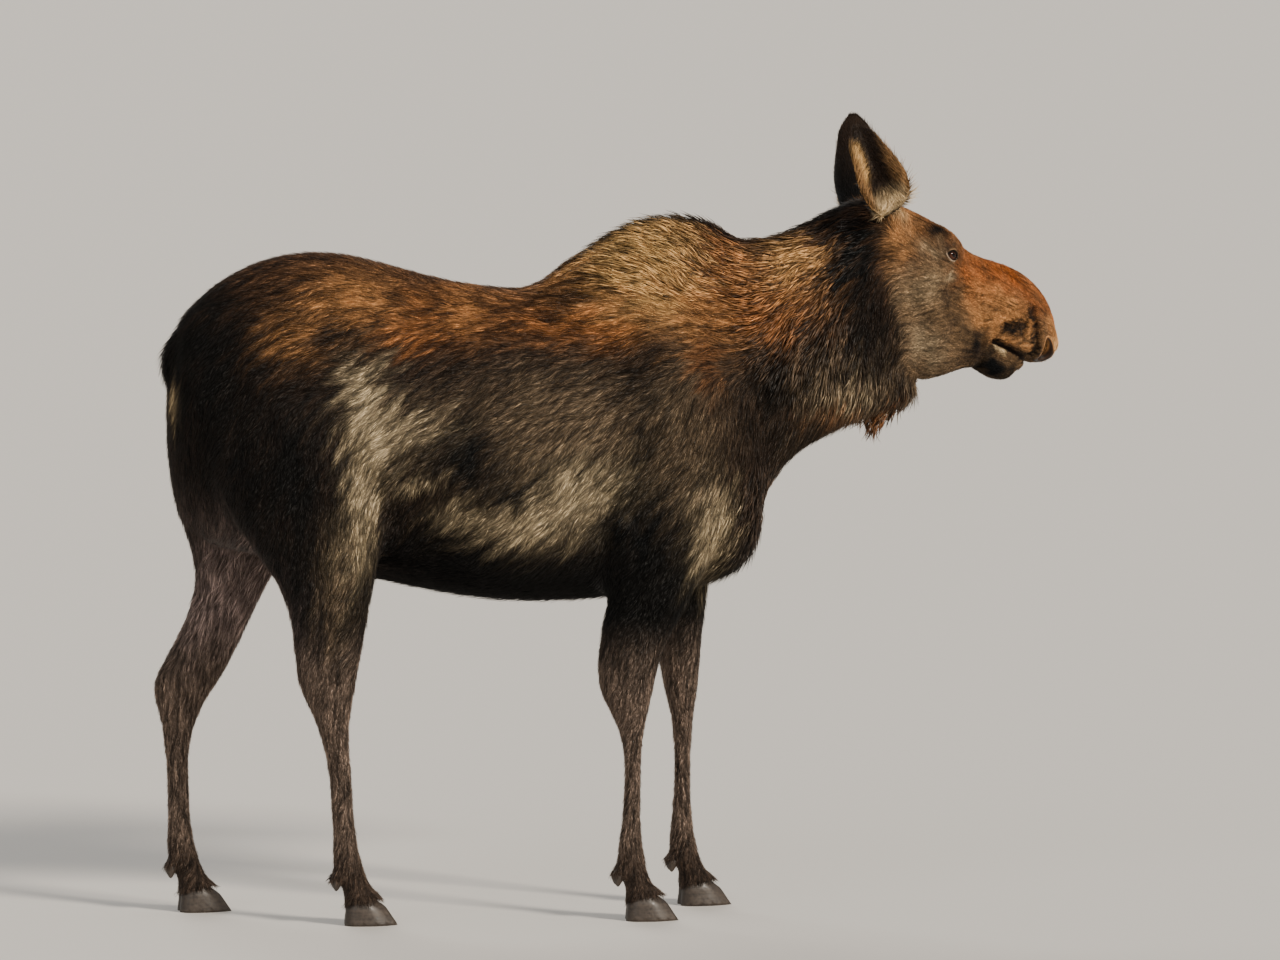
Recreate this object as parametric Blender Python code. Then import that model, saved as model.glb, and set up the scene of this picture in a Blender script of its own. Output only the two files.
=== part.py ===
"""A cow moose in its autumn coat, standing with the head turned a little to its left: the
life-size solids of a museum model. Metres, +X towards the head, +Y to the animal's left, +Z up.
The origin is on the floor under the middle of the animal. Every outline here is that of the
tips of the coat.

The flesh is lofted through measured sections, joined by a voxel remesh, shaped by soft strokes,
thinned, and then parted with thin cuts. Eyes, ears, tail, hooves and dewclaws are solids of
their own."""

import math

import bpy
import numpy as np
from mathutils import Matrix, Vector

# ---------------------------------------------------------------- driving sizes
CUT = 0.0004  # gap that parts one piece from the next
POCKET_GAP = 0.001  # round an eye, an ear, the tail or a claw where it sits in the flesh
VOXEL = 0.008  # cell of the remesh that joins the lofts
SMOOTHING_PASSES = 9
BODY_TRIANGLES = 2150  # of the joined body before it is parted, its head apart
HEAD_TRIANGLES = 1240

RIGHT, LEFT = -1, 1

# The head has its own axes: +X from the poll to the nose, +Z out of the forehead.
POLL = Vector((0.668, 0.062, 1.756))
HEAD_PITCH = math.radians(36)
HEAD_YAW = math.radians(23)
HEAD_TURN = Matrix.Rotation(HEAD_YAW, 4, "Z") @ Matrix.Rotation(HEAD_PITCH, 4, "Y")
HEAD = Matrix.Translation(POLL) @ HEAD_TURN

# ---------------------------------------------------------------- sections
# Trunk, tail to breast: x, top, bottom, half width, height of the widest place, roundness above
# and below. A roundness of 2 is an ellipse, less is sharper and more is squarer.
TRUNK = [
    (-1.094, 1.330, 1.120, 0.055, 1.24, 2.0, 2.0),
    (-1.070, 1.445, 1.000, 0.120, 1.24, 2.0, 2.0),
    (-1.020, 1.515, 0.935, 0.165, 1.24, 2.0, 2.0),
    (-0.920, 1.590, 0.898, 0.204, 1.24, 2.0, 2.0),
    (-0.790, 1.631, 0.868, 0.228, 1.24, 2.0, 1.9),
    (-0.680, 1.634, 0.842, 0.240, 1.22, 2.0, 1.8),
    (-0.560, 1.608, 0.818, 0.248, 1.18, 2.0, 1.75),
    (-0.440, 1.574, 0.792, 0.262, 1.14, 2.0, 1.85),
    (-0.320, 1.552, 0.775, 0.272, 1.10, 2.0, 2.0),
    (-0.200, 1.552, 0.768, 0.270, 1.10, 1.95, 2.1),
    (-0.080, 1.630, 0.770, 0.260, 1.12, 1.8, 2.1),
    (0.020, 1.688, 0.778, 0.252, 1.14, 1.75, 2.1),
    (0.100, 1.714, 0.784, 0.246, 1.16, 1.75, 2.0),
    (0.180, 1.718, 0.790, 0.233, 1.17, 1.75, 2.0),
    (0.250, 1.700, 0.808, 0.213, 1.18, 1.8, 2.0),
    (0.320, 1.640, 0.850, 0.178, 1.19, 1.9, 2.0),
    (0.370, 1.500, 0.945, 0.124, 1.20, 2.0, 2.0),
    (0.392, 1.300, 1.080, 0.056, 1.20, 2.0, 2.0),
]
# Neck, shoulders to skull: the top point x, z, the bottom point x, z, the sideways place, half
# width, roundnesses.
NECK = [
    (0.120, 1.700, 0.330, 0.960, 0.000, 0.190, 1.8, 2.0),
    (0.230, 1.692, 0.405, 1.060, 0.000, 0.172, 1.8, 2.0),
    (0.330, 1.662, 0.475, 1.132, 0.004, 0.152, 1.8, 2.0),
    (0.430, 1.680, 0.580, 1.186, 0.020, 0.138, 1.8, 1.9),
    (0.510, 1.716, 0.672, 1.232, 0.042, 0.130, 1.8, 1.9),
    (0.590, 1.748, 0.742, 1.292, 0.066, 0.122, 1.9, 2.0),
    (0.650, 1.740, 0.790, 1.370, 0.086, 0.100, 2.0, 2.0),
]
# Skull and nose in the head's axes, poll to nose: x, top, bottom, half width, height of the
# widest place, roundnesses.
FACE = [
    (-0.070, -0.060, -0.200, 0.060, -0.12, 2.0, 2.0),
    (-0.020, -0.012, -0.235, 0.088, -0.10, 2.0, 2.0),
    (0.060, 0.016, -0.255, 0.098, -0.08, 2.3, 2.0),
    (0.140, 0.032, -0.250, 0.100, -0.06, 2.6, 2.0),
    (0.205, 0.036, -0.235, 0.097, -0.05, 2.6, 2.0),
    (0.270, 0.034, -0.205, 0.084, -0.05, 2.3, 2.0),
    (0.330, 0.050, -0.170, 0.072, -0.05, 2.0, 2.0),
    (0.395, 0.076, -0.145, 0.066, -0.04, 1.9, 2.1),
    (0.455, 0.088, -0.122, 0.070, -0.03, 2.0, 2.2),
    (0.515, 0.081, -0.106, 0.077, -0.03, 2.2, 2.3),
    (0.565, 0.056, -0.101, 0.076, -0.03, 2.4, 2.4),
    (0.600, 0.028, -0.090, 0.064, -0.03, 2.4, 2.4),
    (0.630, 0.002, -0.066, 0.046, -0.03, 2.2, 2.2),
    (0.650, -0.016, -0.044, 0.022, -0.03, 2.0, 2.0),
]
# Lower jaw in the head's axes, throat to chin, in the same order.
JAW = [
    (0.140, -0.080, -0.200, 0.060, -0.14, 2.0, 2.0),
    (0.210, -0.080, -0.268, 0.083, -0.17, 2.0, 2.0),
    (0.280, -0.080, -0.308, 0.090, -0.18, 2.0, 2.3),
    (0.335, -0.080, -0.310, 0.086, -0.18, 2.0, 2.4),
    (0.380, -0.085, -0.292, 0.076, -0.17, 2.0, 2.3),
    (0.420, -0.090, -0.246, 0.064, -0.15, 2.0, 2.2),
    (0.455, -0.092, -0.204, 0.053, -0.14, 2.0, 2.1),
    (0.500, -0.096, -0.182, 0.047, -0.135, 2.0, 2.2),
    (0.540, -0.102, -0.173, 0.045, -0.135, 2.1, 2.2),
    (0.570, -0.106, -0.148, 0.036, -0.127, 2.0, 2.2),
    (0.588, -0.110, -0.128, 0.018, -0.119, 2.0, 2.0),
]
# Bell under the throat, top to tip: x, y, z of the centre, half length, half width.
BELL = [
    (0.690, 0.085, 1.330, 0.062, 0.042),
    (0.684, 0.078, 1.275, 0.056, 0.036),
    (0.672, 0.072, 1.230, 0.044, 0.028),
    (0.662, 0.069, 1.196, 0.027, 0.020),
    (0.656, 0.067, 1.176, 0.012, 0.010),
]
# Legs, body to hoof: z, back x, front x, sideways place, half width.
FORE_RIGHT = [
    (1.120, -0.040, 0.290, -0.120, 0.100),
    (0.980, -0.046, 0.262, -0.138, 0.100),
    (0.880, -0.046, 0.228, -0.150, 0.090),
    (0.800, -0.036, 0.188, -0.155, 0.080),
    (0.740, -0.044, 0.152, -0.156, 0.068),
    (0.680, -0.055, 0.122, -0.156, 0.060),
    (0.620, -0.062, 0.100, -0.155, 0.054),
    (0.565, -0.054, 0.087, -0.154, 0.051),
    (0.515, -0.030, 0.076, -0.153, 0.046),
    (0.470, -0.007, 0.065, -0.152, 0.036),
    (0.410, 0.006, 0.060, -0.152, 0.030),
    (0.290, 0.004, 0.057, -0.152, 0.029),
    (0.205, -0.004, 0.057, -0.152, 0.032),
    (0.160, -0.014, 0.064, -0.152, 0.038),
    (0.120, -0.004, 0.072, -0.152, 0.036),
    (0.085, 0.008, 0.084, -0.152, 0.040),
    (0.052, 0.016, 0.096, -0.152, 0.042),
]
FORE_LEFT = [
    (1.120, -0.010, 0.300, 0.120, 0.100),
    (0.980, 0.005, 0.292, 0.138, 0.100),
    (0.880, 0.032, 0.276, 0.148, 0.090),
    (0.800, 0.068, 0.264, 0.152, 0.080),
    (0.740, 0.095, 0.256, 0.152, 0.068),
    (0.680, 0.115, 0.248, 0.152, 0.060),
    (0.620, 0.128, 0.242, 0.151, 0.054),
    (0.560, 0.138, 0.238, 0.150, 0.051),
    (0.515, 0.150, 0.230, 0.149, 0.046),
    (0.470, 0.161, 0.224, 0.148, 0.036),
    (0.410, 0.166, 0.220, 0.148, 0.030),
    (0.290, 0.166, 0.219, 0.148, 0.029),
    (0.205, 0.160, 0.221, 0.148, 0.032),
    (0.160, 0.152, 0.230, 0.148, 0.038),
    (0.120, 0.164, 0.240, 0.148, 0.036),
    (0.085, 0.178, 0.254, 0.148, 0.040),
    (0.052, 0.186, 0.266, 0.148, 0.042),
]
HIND_RIGHT = [
    (1.300, -1.010, -0.640, -0.110, 0.105),
    (1.180, -1.022, -0.585, -0.136, 0.108),
    (1.080, -0.995, -0.562, -0.150, 0.104),
    (1.000, -0.952, -0.562, -0.160, 0.096),
    (0.920, -0.905, -0.575, -0.170, 0.088),
    (0.840, -0.848, -0.592, -0.171, 0.076),
    (0.760, -0.816, -0.608, -0.171, 0.064),
    (0.690, -0.804, -0.620, -0.170, 0.055),
    (0.630, -0.800, -0.632, -0.169, 0.049),
    (0.580, -0.792, -0.640, -0.168, 0.046),
    (0.535, -0.770, -0.650, -0.167, 0.041),
    (0.480, -0.744, -0.656, -0.166, 0.034),
    (0.410, -0.724, -0.655, -0.165, 0.030),
    (0.290, -0.712, -0.646, -0.165, 0.029),
    (0.205, -0.708, -0.640, -0.165, 0.033),
    (0.160, -0.712, -0.630, -0.165, 0.039),
    (0.120, -0.698, -0.618, -0.165, 0.036),
    (0.085, -0.684, -0.600, -0.165, 0.039),
    (0.052, -0.674, -0.588, -0.165, 0.041),
]
HIND_LEFT = [
    (1.300, -1.035, -0.680, 0.110, 0.105),
    (1.180, -1.076, -0.650, 0.136, 0.108),
    (1.080, -1.080, -0.655, 0.150, 0.104),
    (1.000, -1.066, -0.690, 0.158, 0.096),
    (0.920, -1.036, -0.745, 0.166, 0.088),
    (0.840, -1.018, -0.808, 0.166, 0.076),
    (0.760, -1.028, -0.852, 0.165, 0.064),
    (0.690, -1.056, -0.884, 0.164, 0.055),
    (0.630, -1.090, -0.912, 0.163, 0.049),
    (0.580, -1.118, -0.940, 0.162, 0.046),
    (0.535, -1.122, -0.972, 0.161, 0.041),
    (0.480, -1.106, -1.002, 0.160, 0.034),
    (0.410, -1.094, -1.022, 0.160, 0.030),
    (0.290, -1.088, -1.022, 0.160, 0.029),
    (0.205, -1.088, -1.020, 0.160, 0.033),
    (0.160, -1.092, -1.010, 0.160, 0.039),
    (0.120, -1.078, -0.998, 0.160, 0.036),
    (0.085, -1.064, -0.980, 0.160, 0.039),
    (0.052, -1.054, -0.968, 0.160, 0.041),
]
LEGS = {
    "foreleg_right": FORE_RIGHT,
    "foreleg_left": FORE_LEFT,
    "hindleg_right": HIND_RIGHT,
    "hindleg_left": HIND_LEFT,
}
# Tail over the rump, root to tip: x, z, half width, half thickness.
TAIL = [
    (-1.015, 1.484, 0.030, 0.020),
    (-1.056, 1.440, 0.040, 0.022),
    (-1.083, 1.397, 0.042, 0.021),
    (-1.098, 1.354, 0.034, 0.017),
    (-1.100, 1.316, 0.014, 0.008),
]

# ---------------------------------------------------------------- soft strokes
# A stroke pushes the surface out (or in, below 0) round a line: start, end, reach, height.
BODY_STROKES = {
    "shoulder muscle": ((0.14, 0.22, 1.28), (0.16, 0.20, 1.02), 0.17, 0.020),
    "shoulder blade edge": ((0.02, 0.19, 1.50), (0.20, 0.21, 1.20), 0.10, 0.012),
    "upper arm": ((0.24, 0.17, 1.02), (0.06, 0.21, 0.90), 0.12, 0.016),
    "behind the shoulder": ((-0.08, 0.25, 1.36), (-0.07, 0.25, 0.96), 0.11, -0.014),
    "barrel": ((-0.38, 0.27, 1.12), (-0.18, 0.27, 1.08), 0.26, 0.012),
    "flank hollow": ((-0.50, 0.22, 1.42), (-0.46, 0.25, 1.30), 0.14, -0.018),
    "hip bone": ((-0.64, 0.19, 1.52), (-0.62, 0.21, 1.46), 0.10, 0.014),
    "thigh": ((-0.84, 0.23, 1.24), (-0.74, 0.24, 1.06), 0.22, 0.016),
    "behind the thigh muscle": ((-0.96, 0.20, 1.30), (-0.90, 0.22, 1.06), 0.10, -0.008),
    "groin": ((-0.48, 0.24, 0.98), (-0.42, 0.22, 0.88), 0.16, -0.014),
    "neck groove": ((0.40, 0.14, 1.30), (0.62, 0.17, 1.42), 0.10, -0.008),
    "nape muscle": ((0.36, 0.12, 1.56), (0.56, 0.13, 1.62), 0.12, 0.008),
    "hock tendon": ((-0.76, 0.20, 0.52), (-0.76, 0.20, 0.66), 0.05, -0.006),
}
HEAD_STROKES = {
    "brow": ((0.15, 0.086, 0.018), (0.215, 0.090, 0.010), 0.034, 0.016),
    "eye bulge": ((0.200, 0.100, -0.026), (0.212, 0.098, -0.030), 0.040, 0.007),
    "temple": ((0.09, 0.100, -0.020), (0.15, 0.105, -0.045), 0.040, -0.008),
    "ear root": ((0.000, 0.078, -0.030), (0.030, 0.086, -0.020), 0.050, 0.012),
    "cheek": ((0.20, 0.092, -0.12), (0.27, 0.088, -0.19), 0.090, 0.010),
    "below the eye": ((0.25, 0.085, -0.075), (0.36, 0.066, -0.070), 0.045, -0.010),
    "nostril wing": ((0.545, 0.074, -0.010), (0.590, 0.060, -0.050), 0.034, 0.008),
    "behind the nostril": ((0.495, 0.078, -0.030), (0.515, 0.078, -0.055), 0.026, -0.009),
    "upper lip": ((0.50, 0.070, -0.088), (0.57, 0.062, -0.088), 0.026, 0.005),
    "mouth": ((0.470, 0.062, -0.108), (0.585, 0.040, -0.104), 0.013, -0.008),
    "chin": ((0.53, 0.024, -0.165), (0.56, 0.020, -0.150), 0.040, 0.006),
}

# ---------------------------------------------------------------- small parts
EYE_PLACE = (0.2065, 0.0860, -0.0290)
EYE_RADIUS = 0.0215
EAR_LENGTH = 0.235
EAR_THICKNESS = 0.009
# Each ear's root in the head's axes, and in the model's axes the line of its length and the way
# its cup opens.
EARS = {
    RIGHT: ((-0.012, -0.076, -0.040), (-0.26, -0.56, 0.79), (0.46, -0.82, -0.34)),
    LEFT: ((0.004, 0.078, -0.038), (0.08, 0.40, 0.91), (0.40, 0.84, -0.36)),
}
# Ear along its length: share of the length, radius of the curl, half angle of the curl in
# degrees, and how far the cup is filled up.
EAR_SHAPE = [
    (0.00, 0.032, 150, 1.0),
    (0.10, 0.048, 126, 1.0),
    (0.22, 0.061, 106, 0.5),
    (0.38, 0.070, 86, 0.0),
    (0.55, 0.070, 68, 0.0),
    (0.72, 0.066, 52, 0.0),
    (0.87, 0.055, 37, 0.0),
    (1.00, 0.026, 22, 0.0),
]

CLAW_LENGTH = 0.128
CLAW_WIDTH = 0.044
CLAW_HEIGHT = 0.076
CLEFT = 0.006  # between the two claws of a foot
DEWCLAW_RADII = (0.018, 0.014, 0.025)
DEWCLAW_HEIGHT = 0.106
DEWCLAW_SPREAD = 0.022  # sideways from the middle of the leg
DEWCLAW_BEHIND = 0.020  # behind the heels of the claws
DEWCLAW_LEAN = math.radians(28)
SPLAY = math.radians(4)


# ---------------------------------------------------------------- shape tools
def along(rows, count):
    """The rows read at even steps on a smooth curve through them; the first column is the distance."""
    rows = np.array(rows, float)
    order = np.argsort(rows[:, 0])
    rows = rows[order]
    place = rows[:, 0]
    slope = np.gradient(rows, place, axis=0)
    steps = np.linspace(place[0], place[-1], count)
    low = np.clip(np.searchsorted(place, steps, side="right") - 1, 0, len(place) - 2)
    gap = (place[low + 1] - place[low])[:, None]
    u = (steps - place[low])[:, None] / gap
    start = (2 * u**3 - 3 * u**2 + 1) * rows[low] + (u**3 - 2 * u**2 + u) * gap * slope[low]
    end = (3 * u**2 - 2 * u**3) * rows[low + 1] + (u**3 - u**2) * gap * slope[low + 1]
    return start + end


def oval(half_width, up, down, round_up=2.0, round_down=2.0, points=36):
    """Points (sideways, up) round a section whose upper and lower halves have their own height
    and roundness."""
    turn = np.linspace(0, 2 * np.pi, points, endpoint=False)
    side, rise = np.cos(turn), np.sin(turn)
    power = np.where(rise >= 0, 2 / round_up, 2 / round_down)
    height = np.where(rise >= 0, up, down)
    return (
        half_width * np.sign(side) * np.abs(side) ** power,
        height * np.sign(rise) * np.abs(rise) ** power,
    )


def skin_over(name, rings):
    """A closed mesh object over rings of equal length, with a point in the middle of each end."""
    rings = [np.asarray(ring) for ring in rings]
    size, count = len(rings[0]), len(rings)
    points = np.concatenate(rings + [rings[0].mean(0)[None], rings[-1].mean(0)[None]])
    first, last = size * count, size * count + 1
    faces = []
    for i in range(size):
        j = (i + 1) % size
        for start in range(0, size * (count - 1), size):
            faces.append((start + i, start + j, start + size + j))
            faces.append((start + i, start + size + j, start + size + i))
        faces.append((first, j, i))
        faces.append((last, (count - 1) * size + i, (count - 1) * size + j))
    return outward(new_object(name, points, faces))


def new_object(name, points, faces):
    mesh = bpy.data.meshes.new(name)
    mesh.from_pydata([tuple(map(float, p)) for p in points], [], faces)
    mesh.validate()
    made = bpy.data.objects.new(name, mesh)
    bpy.context.scene.collection.objects.link(made)
    return made


def volume(mesh):
    mesh.calc_loop_triangles()
    points = points_of(mesh)
    corners = np.array([t.vertices for t in mesh.loop_triangles])
    a, b, c = points[corners[:, 0]], points[corners[:, 1]], points[corners[:, 2]]
    return float(np.einsum("ij,ij->i", a, np.cross(b, c)).sum() / 6)


def outward(made):
    if volume(made.data) < 0:
        made.data.flip_normals()
    return made


def points_of(mesh):
    flat = np.empty(len(mesh.vertices) * 3, np.float32)
    mesh.vertices.foreach_get("co", flat)
    return flat.reshape(-1, 3).astype(float)


def set_points(mesh, points):
    mesh.vertices.foreach_set("co", points.astype(np.float32).ravel())
    mesh.update()


def normals_of(mesh):
    flat = np.empty(len(mesh.vertices) * 3, np.float32)
    mesh.vertex_normals.foreach_get("vector", flat)
    return flat.reshape(-1, 3).astype(float)


def settle(made):
    """Applies the modifiers of an object."""
    graph = bpy.context.evaluated_depsgraph_get()
    settled = bpy.data.meshes.new_from_object(made.evaluated_get(graph))
    made.modifiers.clear()
    made.data = settled
    return made


def duplicate(made, name):
    copied = made.copy()
    copied.data = made.data.copy()
    copied.name = name
    bpy.context.scene.collection.objects.link(copied)
    return copied


def drop(made):
    bpy.data.objects.remove(made)


def swell(made, amount):
    """Moves the whole surface outwards."""
    set_points(made.data, points_of(made.data) + normals_of(made.data) * amount)
    return made


def combine(made, other, operation):
    cut = made.modifiers.new(operation.lower(), "BOOLEAN")
    cut.operation = operation
    cut.solver = "EXACT"
    cut.object = other
    return settle(made)


def part_off(whole, region, name):
    """Takes what lies in the region off the whole, as a new object, with a thin gap between."""
    piece = combine(duplicate(whole, name), region, "INTERSECT")
    wider = swell(duplicate(region, "wider"), CUT)
    combine(whole, wider, "DIFFERENCE")
    drop(wider)
    drop(region)
    return piece


def prism(name, outline, low, high, run="y"):
    """A block over an outline, which is in x and z where the block runs along y, or in y and z
    where it runs along x."""
    near = [(a, low, b) if run == "y" else (low, a, b) for a, b in outline]
    far = [(a, high, b) if run == "y" else (high, a, b) for a, b in outline]
    count = len(outline)
    faces = [(i, (i + 1) % count, count + (i + 1) % count, count + i) for i in range(count)]
    faces += [tuple(reversed(range(count))), tuple(range(count, 2 * count))]
    return outward(new_object(name, near + far, faces))


def half_space(name, point, normal, size=4):
    """A cube whose one face stands at the point and looks back along the normal."""
    bpy.ops.mesh.primitive_cube_add(size=size, location=(0, 0, 0))
    made = bpy.context.object
    made.name = name
    turn = Vector(normal).to_track_quat("Z", "Y").to_matrix().to_4x4()
    made.data.transform(Matrix.Translation(point) @ turn @ Matrix.Translation((0, 0, size / 2)))
    return made


# ---------------------------------------------------------------- flesh
def body_loft(name, rows, count, place=None):
    """A loft whose sections stand across x. place moves it out of its own axes."""
    rings = []
    for x, top, bottom, width, middle, round_up, round_down in along(rows, count):
        side, rise = oval(width, top - middle, middle - bottom, round_up, round_down)
        rings.append(np.column_stack([np.full_like(side, x), side, middle + rise]))
    made = skin_over(name, rings)
    if place is not None:
        made.data.transform(place)
    return made


def neck_loft(name, rows, count):
    """Sections that lean with the neck, each given by its top and bottom points."""
    numbered = [(i, *row) for i, row in enumerate(rows)]
    rings = []
    for _, top_x, top_z, low_x, low_z, y, width, round_up, round_down in along(numbered, count):
        middle = np.array([(top_x + low_x) / 2, y, (top_z + low_z) / 2])
        up = np.array([top_x - low_x, 0, top_z - low_z]) / 2
        side, rise = oval(width, 1, 1, round_up, round_down)
        rings.append(middle + np.outer(rise, up) + np.outer(side, [0, 1, 0]))
    return skin_over(name, rings)


def leg_loft(name, rows, count=60):
    """Level sections; a leg's own rows run downwards."""
    rings = []
    for z, back, front, y, width in along(rows, count):
        across, lengthwise = oval(width, 1, 1, 2.2, 2.2, 24)
        x = (front + back) / 2 + lengthwise * (front - back) / 2
        rings.append(np.column_stack([x, y + across, np.full_like(x, z)]))
    return skin_over(name, rings)


def bell_loft(name):
    rings = []
    for x, y, z, length, width in BELL:
        across, lengthwise = oval(width, length, length, 2, 2, 20)
        rings.append(np.column_stack([x + lengthwise, y + across, np.full_like(across, z)]))
    return skin_over(name, rings)


def stroke_lift(points, start, end, reach, height):
    """How far a stroke moves each point: most on its line, nothing beyond its reach."""
    start, end = np.array(start), np.array(end)
    line = end - start
    share = np.clip(((points - start) @ line) / (line @ line), 0, 1)
    away = np.linalg.norm(points - start - share[:, None] * line, axis=1) / reach
    return np.where(away < 1, (1 - away**2) ** 2, 0) * height


def sculpt(mesh):
    """All the strokes, on both sides of the animal."""
    points, normals = points_of(mesh), normals_of(mesh)
    lift = np.zeros(len(points))
    for strokes, place in ((BODY_STROKES, Matrix.Identity(4)), (HEAD_STROKES, HEAD)):
        for start, end, reach, height in strokes.values():
            for side in (RIGHT, LEFT):
                ends = [place @ Vector((p[0], p[1] * side, p[2])) for p in (start, end)]
                lift += stroke_lift(points, *ends, reach, height)
    set_points(mesh, points + normals * lift[:, None])


def flesh():
    """The whole soft body as one thinned mesh."""
    lofts = [
        body_loft("trunk_loft", TRUNK, 90),
        neck_loft("neck_loft", NECK, 40),
        body_loft("face_loft", FACE, 60, HEAD),
        body_loft("jaw_loft", JAW, 40, HEAD),
        bell_loft("bell_loft"),
        *[leg_loft(name, rows) for name, rows in LEGS.items()],
    ]
    points = np.concatenate([points_of(o.data) for o in lofts])
    faces, start = [], 0
    for o in lofts:
        faces += [[start + v for v in p.vertices] for p in o.data.polygons]
        start += len(o.data.vertices)
        drop(o)
    body = new_object("flesh", points, faces)
    join = body.modifiers.new("join", "REMESH")
    join.mode = "VOXEL"
    join.voxel_size = VOXEL
    soften = body.modifiers.new("soften", "SMOOTH")
    soften.factor = 0.5
    soften.iterations = SMOOTHING_PASSES
    settle(body)
    sculpt(body.data)
    return thin_out(body)


def thin_out(body):
    """Fewer triangles: first on the body and then on the head, which keeps more of them."""
    into_head = np.array(HEAD.inverted())
    for thinned, wanted in (("body", BODY_TRIANGLES), ("head", HEAD_TRIANGLES)):
        local = points_of(body.data) @ into_head[:3, :3].T + into_head[:3, 3]
        on_head = (local[:, 0] > 0.02) & (local[:, 2] > -0.33)
        chosen = on_head if thinned == "head" else ~on_head
        group = body.vertex_groups.new(name=thinned)
        group.add(np.flatnonzero(chosen).tolist(), 1.0, "REPLACE")
        body.data.calc_loop_triangles()
        inside = sum(all(chosen[v] for v in t.vertices) for t in body.data.loop_triangles)
        total = len(body.data.loop_triangles)
        thin = body.modifiers.new("thin", "DECIMATE")
        thin.ratio = (total - inside + wanted) / total
        thin.vertex_group = thinned
        thin.use_collapse_triangulate = True
        settle(body)
        body.vertex_groups.clear()
    return body


# ---------------------------------------------------------------- ears, eyes, tail, feet
def ear(side, name, hollow_share=1):
    """A cupped leaf: a curled sheet that nearly closes at the root and opens towards the tip.
    With a hollow share of 0 the cup is filled level with its rim."""
    root, long_axis, opening = (Vector(v) for v in EARS[side])
    root = HEAD @ root
    long_axis.normalize()
    opening = (opening - long_axis * opening.dot(long_axis)).normalized()
    across = long_axis.cross(opening)
    rings = []
    for share, radius, angle, filled in along(EAR_SHAPE, 10):
        turn = np.radians(np.linspace(-angle, angle, 9))
        back = np.column_stack([radius - radius * np.cos(turn), radius * np.sin(turn)])
        hollow = max(radius - EAR_THICKNESS, radius * 0.3)
        cup = np.column_stack([radius - hollow * np.cos(turn), hollow * np.sin(turn) * 0.97])
        rim = back[0] + np.outer(np.linspace(0.08, 0.92, len(cup)), back[-1] - back[0])
        front = rim + (cup - rim) * np.clip(1 - filled, 0, 1) * hollow_share
        outline = np.concatenate([back, front[::-1]])
        centre = root + long_axis * (EAR_LENGTH * share) - opening * (0.02 + 0.03 * share**2)
        lift, spread = np.outer(outline[:, 0], opening), np.outer(outline[:, 1], across)
        rings.append(np.array(centre) + lift + spread)
    return skin_over(name, rings)


def word(side):
    return "left" if side == LEFT else "right"


def ball(name, place, radius, segments, rings):
    bpy.ops.mesh.primitive_uv_sphere_add(
        segments=segments, ring_count=rings, radius=radius, location=place
    )
    made = bpy.context.object
    made.name = made.data.name = name
    made.data.transform(made.matrix_world)
    made.matrix_world = Matrix.Identity(4)
    return made


def eye(side):
    place = HEAD @ Vector((EYE_PLACE[0], EYE_PLACE[1] * side, EYE_PLACE[2]))
    return ball(f"eye_{word(side)}", place, EYE_RADIUS, 14, 9)


def tail():
    rings = []
    numbered = [(i, *row) for i, row in enumerate(TAIL)]
    for _, x, z, width, thick in along(numbered, 7):
        across, out = oval(width, thick, thick, 2, 2, 10)
        rings.append(np.column_stack([x - out * 0.86, across, z + out * 0.5]))
    return skin_over("tail", rings)


def claw(name, heel_x, middle_y, side, splay):
    """One of a foot's two claws: flat inside, rounded outside, its wall sloping back from the toe."""
    rings = []
    for level in (0.0, 0.4, 0.75, 1.0):
        toe = CLAW_LENGTH * (1 - 0.40 * level)
        heel = CLAW_LENGTH * 0.06 * level
        width = CLAW_WIDTH * (1 - 0.10 * level)
        outline = [(heel + 0.004, 0.0), ((heel + toe) / 2, 0.0), (toe - 0.012, 0.003), (toe, 0.010)]
        for share in (0.15, 0.35, 0.6, 0.85):
            bulge = width * math.sin(math.pi / 2 * min(1, share * 1.5 + 0.25))
            outline.append((toe - (toe - heel) * share, bulge))
        outline += [(heel + 0.001, width * 0.72), (heel - 0.003, width * 0.35)]
        rings.append([(x, side * (CLEFT / 2 + y), CLAW_HEIGHT * level) for x, y in outline])
    made = skin_over(name, rings)
    made.data.transform(Matrix.Translation((heel_x, middle_y, 0)) @ Matrix.Rotation(splay, 4, "Z"))
    return outward(made)


def dewclaw(name, x, y):
    made = ball(name, (0, 0, 0), 1, 8, 5)
    place = Matrix.Translation((x, y, DEWCLAW_HEIGHT))
    lean = Matrix.Rotation(DEWCLAW_LEAN, 4, "Y")
    made.data.transform(place @ lean @ Matrix.Diagonal((*DEWCLAW_RADII, 1)))
    return made


def foot(name, rows):
    """The two claws and two dewclaws at the end of a leg."""
    _, heel, _, y, _ = rows[-1]
    side = LEFT if y > 0 else RIGHT
    made = []
    for where, way in (("inner", -side), ("outer", side)):
        made.append(claw(f"{name}_claw_{where}", heel, y, way, side * SPLAY))
        beside = y + way * DEWCLAW_SPREAD
        made.append(dewclaw(f"{name}_dewclaw_{where}", heel - DEWCLAW_BEHIND, beside))
    return made


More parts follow.
